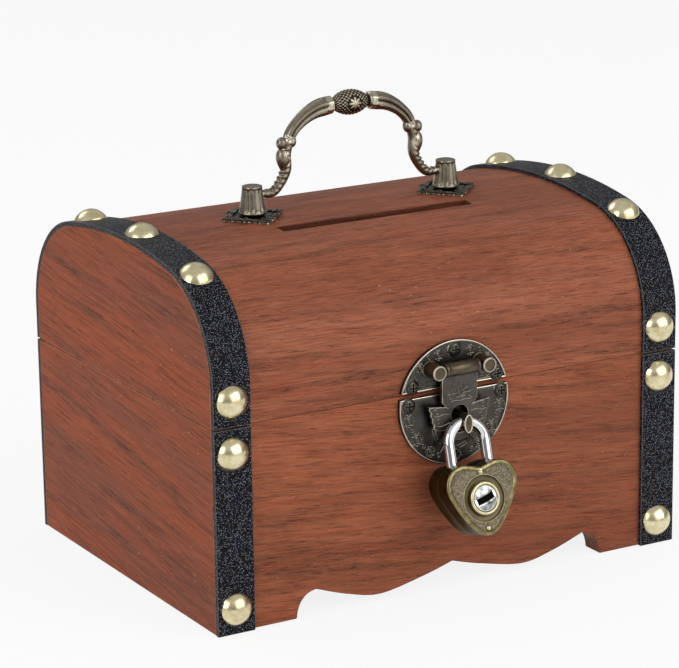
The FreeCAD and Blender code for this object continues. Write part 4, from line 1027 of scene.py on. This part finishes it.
front = -LOCK_T / 2
side_wall = [(0.06, -0.02), (0.0, -0.12), (0.0, front + EDGE_R + 0.4), (0.0, front + EDGE_R)]
round_edge = [(EDGE_R * (1 - cos(a)), front + EDGE_R * (1 - sin(a))) for a in spread(0, pi / 2, 6)]
double_rim = [(0.73, 0.08), (0.81, 0.06), (0.9, 0.03), (0.98, 0.1), (1.09, 0.32), (FACE_INSET, FACE_DEEP)]
wall = [level(inset(d), y) for d, y in side_wall]
rim = [level(inset(d), y) for d, y in round_edge]
rim += [level(inset(d), front + deep) for d, deep in double_rim]
face = []
for t in (0.33, 0.66, 1.0):
    mixed = [a.lerp(b, t) for a, b in zip(inset(FACE_INSET), round_the_plug(DISH_R + 0.35))]
    face.append(level(mixed, front + FACE_DEEP))
lip = [level(round_the_plug(DISH_R + out), front + deep)
       for out, deep in ((0.25, 0.33), (0.1, 0.3), (0.0, 0.36), (-0.12, 0.85))]
dish = [level(round_the_plug(r), front + FACE_DEEP + DISH_DEEP) for r in (5.6, 5.0, 4.4)]
RIM, FACE, DISH, SIDE = range(4)
parts, bands = [], []
for part, mark in ((wall, SIDE), (rim, RIM), (face, FACE), (lip, RIM), (dish, DISH)):
    bands.append((max(len(parts) - 1, 0), mark))
    parts += part
front_shell = banded(parts, bands)
back_shell = skin([level(inset(d), -y) for d, y in side_wall + round_edge])
# The side walls (SIDE) and the whole back shell take the brass painted dark as shade.
piece("padlock_front_pressing", moved(front_shell, hang), "padlock",
      [brass_rim, brass_grain, brass_dish, brass_shaded_side], ["padlock_front_shell"], angle=50)
piece("padlock_back_pressing", moved(back_shell, hang), "padlock", [brass_shaded_side],
      ["padlock_back_shell"], angle=50)

# %% Bezel and rivets
BEZEL_R, BEZEL_BORE = 4.55, 3.5
bezel_profile = [(BEZEL_BORE, -0.9), (BEZEL_R, -0.9), (BEZEL_R, 0.0), (BEZEL_R - 0.08, 0.3),
                 (BEZEL_R - 0.3, 0.5), (BEZEL_R - 0.6, 0.55), (BEZEL_R - 0.85, 0.42),
                 (BEZEL_R - 1.0, 0.1), (BEZEL_BORE, -0.35)]
ring = stood(skin(lathe(bezel_profile, 64), loop=True), (0, front, PLUG_Z), (0, -1, 0))
piece("padlock_bezel_ring", moved(ring, hang), "padlock", [brass_bright],
      ["padlock_bezel"], angle=60)
RIVET_R, RIVET_ZS = 0.75, (-7.95, -23.0)
heads = merge(*[ball((0, front + FACE_DEEP, z), RIVET_R, (1, 0.85, 1)) for z in RIVET_ZS])
piece("padlock_rivet_heads", moved(heads, hang), "padlock", [brass_bright],
      ["padlock_rivets"])

# %% [markdown]
# ### Lock plug
# The plug is a chromed cylinder with a key slot across it, and its CAD shape stays. A flat mirror
# shows one even tone, but the real face is polished a little round, so two domed halves are laid
# on it, one each side of the slot, and a dark strip of painted shade stands in the slot.

# %% Lock plug
PLUG_PROUD, KEY_HALF_L, KEY_HALF_W, KEY_LEAN = 0.2, 2.7, 0.85, 17.0
PLUG_R, FACE_R, FACE_LOW, FACE_SWELL, FACE_T = 3.4, 3.3, KEY_HALF_W + 0.02, 0.32, 0.12
plug_face = front - PLUG_PROUD


def half_face():
    """Domed face of the plug above the slot."""
    start = asin(FACE_LOW / FACE_R)
    rows = []
    for t in (0.0, 0.25, 0.5, 0.75, 0.92, 1.0):
        row = []
        for turn in spread(pi - start, start, 24):
            x = FACE_R * cos(turn) * (0.999 if t else 1)
            z = FACE_LOW + (FACE_R * sin(turn) - FACE_LOW) * t
            swell = FACE_SWELL * (1 - (x * x + z * z) / PLUG_R ** 2)
            row.append((x, plug_face - 0.02 - swell, z))
        rows.append(row)
    return sheet(rows)


key_turn = Matrix.Translation((0, 0, PLUG_Z)) @ Matrix.Rotation(radians(-KEY_LEAN), 4, "Y")
halves = merge(half_face(), moved(half_face(), Matrix.Rotation(pi, 4, "Y")))
# The plug face takes the chrome with painted dark reflections.
piece("plug_face", moved(halves, hang @ key_turn), "plug", [plug_chrome_dark_reflections], thick=FACE_T, angle=60)
half_l, half_w = KEY_HALF_L - 0.05, KEY_HALF_W - 0.03
strip_outline = [(-half_l, -half_w), (half_l, -half_w), (half_l, half_w), (-half_l, half_w)]
# Painted shade: a near-black strip fills the key slot.
strip = plate(strip_outline, plug_face + 0.35, plug_face + 1.9)
piece("keyway_shade", moved(strip, hang @ key_turn), "plug", [dark_bore])

# %% [markdown]
# ## CAD pieces that stay
# Screws, hinges, pins, the chromed shackle, the plug and what is sealed in the lock have the
# right shape already. They keep their CAD mesh and only get a finish.

# %% Finishes on CAD pieces
kept = {
    wood_long: ["bottom_panel"],
    bronze_dark: [s + "_hinge_" + leaf for s in ("left", "right") for leaf in ("box_leaf", "lid_leaf")],
    bronze_brown: ["staple"],
    screw_black: ["box_latch_screws", "lid_latch_screws", "box_hinge_screws", "lid_hinge_screws",
                  "handle_screws"],
    steel: ["left_hinge_pin", "right_hinge_pin", "hasp_pin", "padlock_bolt", "padlock_spring"],
    chrome: ["padlock_shackle", "padlock_plug"],
}
for finish, nodes in kept.items():
    for node in nodes:
        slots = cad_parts[node].data.materials
        slots.clear()
        slots.append(finish)
print("CAD pieces dressed:", sum(len(nodes) for nodes in kept.values()))

# %% [markdown]
# ## Studio
# The picture has a white ground and soft, even light, a little stronger from the right. The floor
# is a pale sheet that keeps a faint shadow. The world is pale above and grey near the horizon, so
# that round metal has something to show.

# %% Floor and light
REACH, FLOOR_DROP, PAPER_GLOW = 20.0, 0.0002, 0.86
floor_mesh = bpy.data.meshes.new("floor")
corners = [(-REACH, -REACH, 0), (REACH, -REACH, 0), (REACH, REACH, 0), (-REACH, REACH, 0)]
floor_mesh.from_pydata(corners, [], [(0, 1, 2, 3)])
floor = put("floor", floor_mesh)
floor.location.z = -FLOOR_DROP
paper, tree, shader, place = new_finish("white paper sweep")
fill(tree, shader, {"Base Color": "#F4F4F4", "Roughness": 0.9})
rays = add(tree, "LightPath").node.outputs
direct = add(tree, "Math", [rays["Is Camera Ray"], rays["Is Glossy Ray"]], operation="MAXIMUM")
seen = add(tree, "Math", [direct, rays["Is Transmission Ray"]], operation="MAXIMUM")
share = add(tree, "Math", [seen, PAPER_GLOW], operation="MULTIPLY")
glow = add(tree, "Emission", {"Color": "#FFFFFF", "Strength": 1.0})
blend = add(tree, "MixShader", [share, shader.outputs[0], glow])
fill(tree, tree.nodes["Material Output"], {"Surface": blend})
floor_mesh.materials.append(paper)

world = bpy.data.worlds.new("white studio")
scene.world = world
world.use_nodes = True
tree = world.node_tree
height = add(tree, "SeparateXYZ", [add(tree, "TexCoord", out="Generated")], "Z")
sky = add(tree, "MapRange", [height, 0.0, 0.6, 0.16, 0.56])
fill(tree, tree.nodes["Background"], {"Color": "#FFFFFF", "Strength": sky})


def lamp(name, place, target, size, power):
    """Soft box that faces a target."""
    data = bpy.data.lights.new(name, "AREA")
    data.shape = "RECTANGLE"
    data.size, data.size_y = size
    data.energy = power
    obj = put(name, data)
    obj.location = place
    obj.rotation_euler = (Vector(target) - Vector(place)).to_track_quat("-Z", "Y").to_euler()
    print("%s: %.1f W" % (name, power))


lamp("key soft box", (0.4, -1.0, 0.6), (0, 0, 0.05), (1.3, 0.95), 7.8)
lamp("fill soft box", (-1.0, -0.3, 0.5), (0, 0, 0.05), (0.6, 0.7), 3.6)
lamp("back soft box", (-0.3, 0.8, 0.8), (0, 0, 0.08), (0.6, 0.4), 1.6)

# %% [markdown]
# ## Camera
# The camera was fitted to the corners of the box in the photograph: a long lens about 0.85 m
# away, turned 30 degrees to the chest's left and 15 degrees above it, with a slight roll.

# %% Camera
AZIMUTH, ELEVATION, ROLL = (radians(a) for a in (-29.88, 15.38, -0.79))
DISTANCE, FOCAL_PX, WIDTH_PX = 846.5, 3021.1, 679.0
TARGET = Vector((-4.2, 0, 59.26))
flat = cos(ELEVATION)
back = Vector((sin(AZIMUTH) * flat, -cos(AZIMUTH) * flat, sin(ELEVATION)))
right = UP.cross(back).normalized()
up = back.cross(right)
across = right * cos(ROLL) + up * sin(ROLL)
upward = up * cos(ROLL) - right * sin(ROLL)
place = (TARGET + back * DISTANCE) * MM + Vector((0, MID_Y, 0))
camera_data = bpy.data.cameras.new("camera")
camera_data.sensor_fit = "HORIZONTAL"
camera_data.sensor_width = 36.0
camera_data.lens = FOCAL_PX / WIDTH_PX * camera_data.sensor_width
camera = put("camera", camera_data)
camera.matrix_world = Matrix.Translation(place) @ Matrix((across, upward, back)).transposed().to_4x4()
scene.camera = camera
scene.view_settings.view_transform = "Standard"
print("lens %.1f mm" % camera_data.lens)
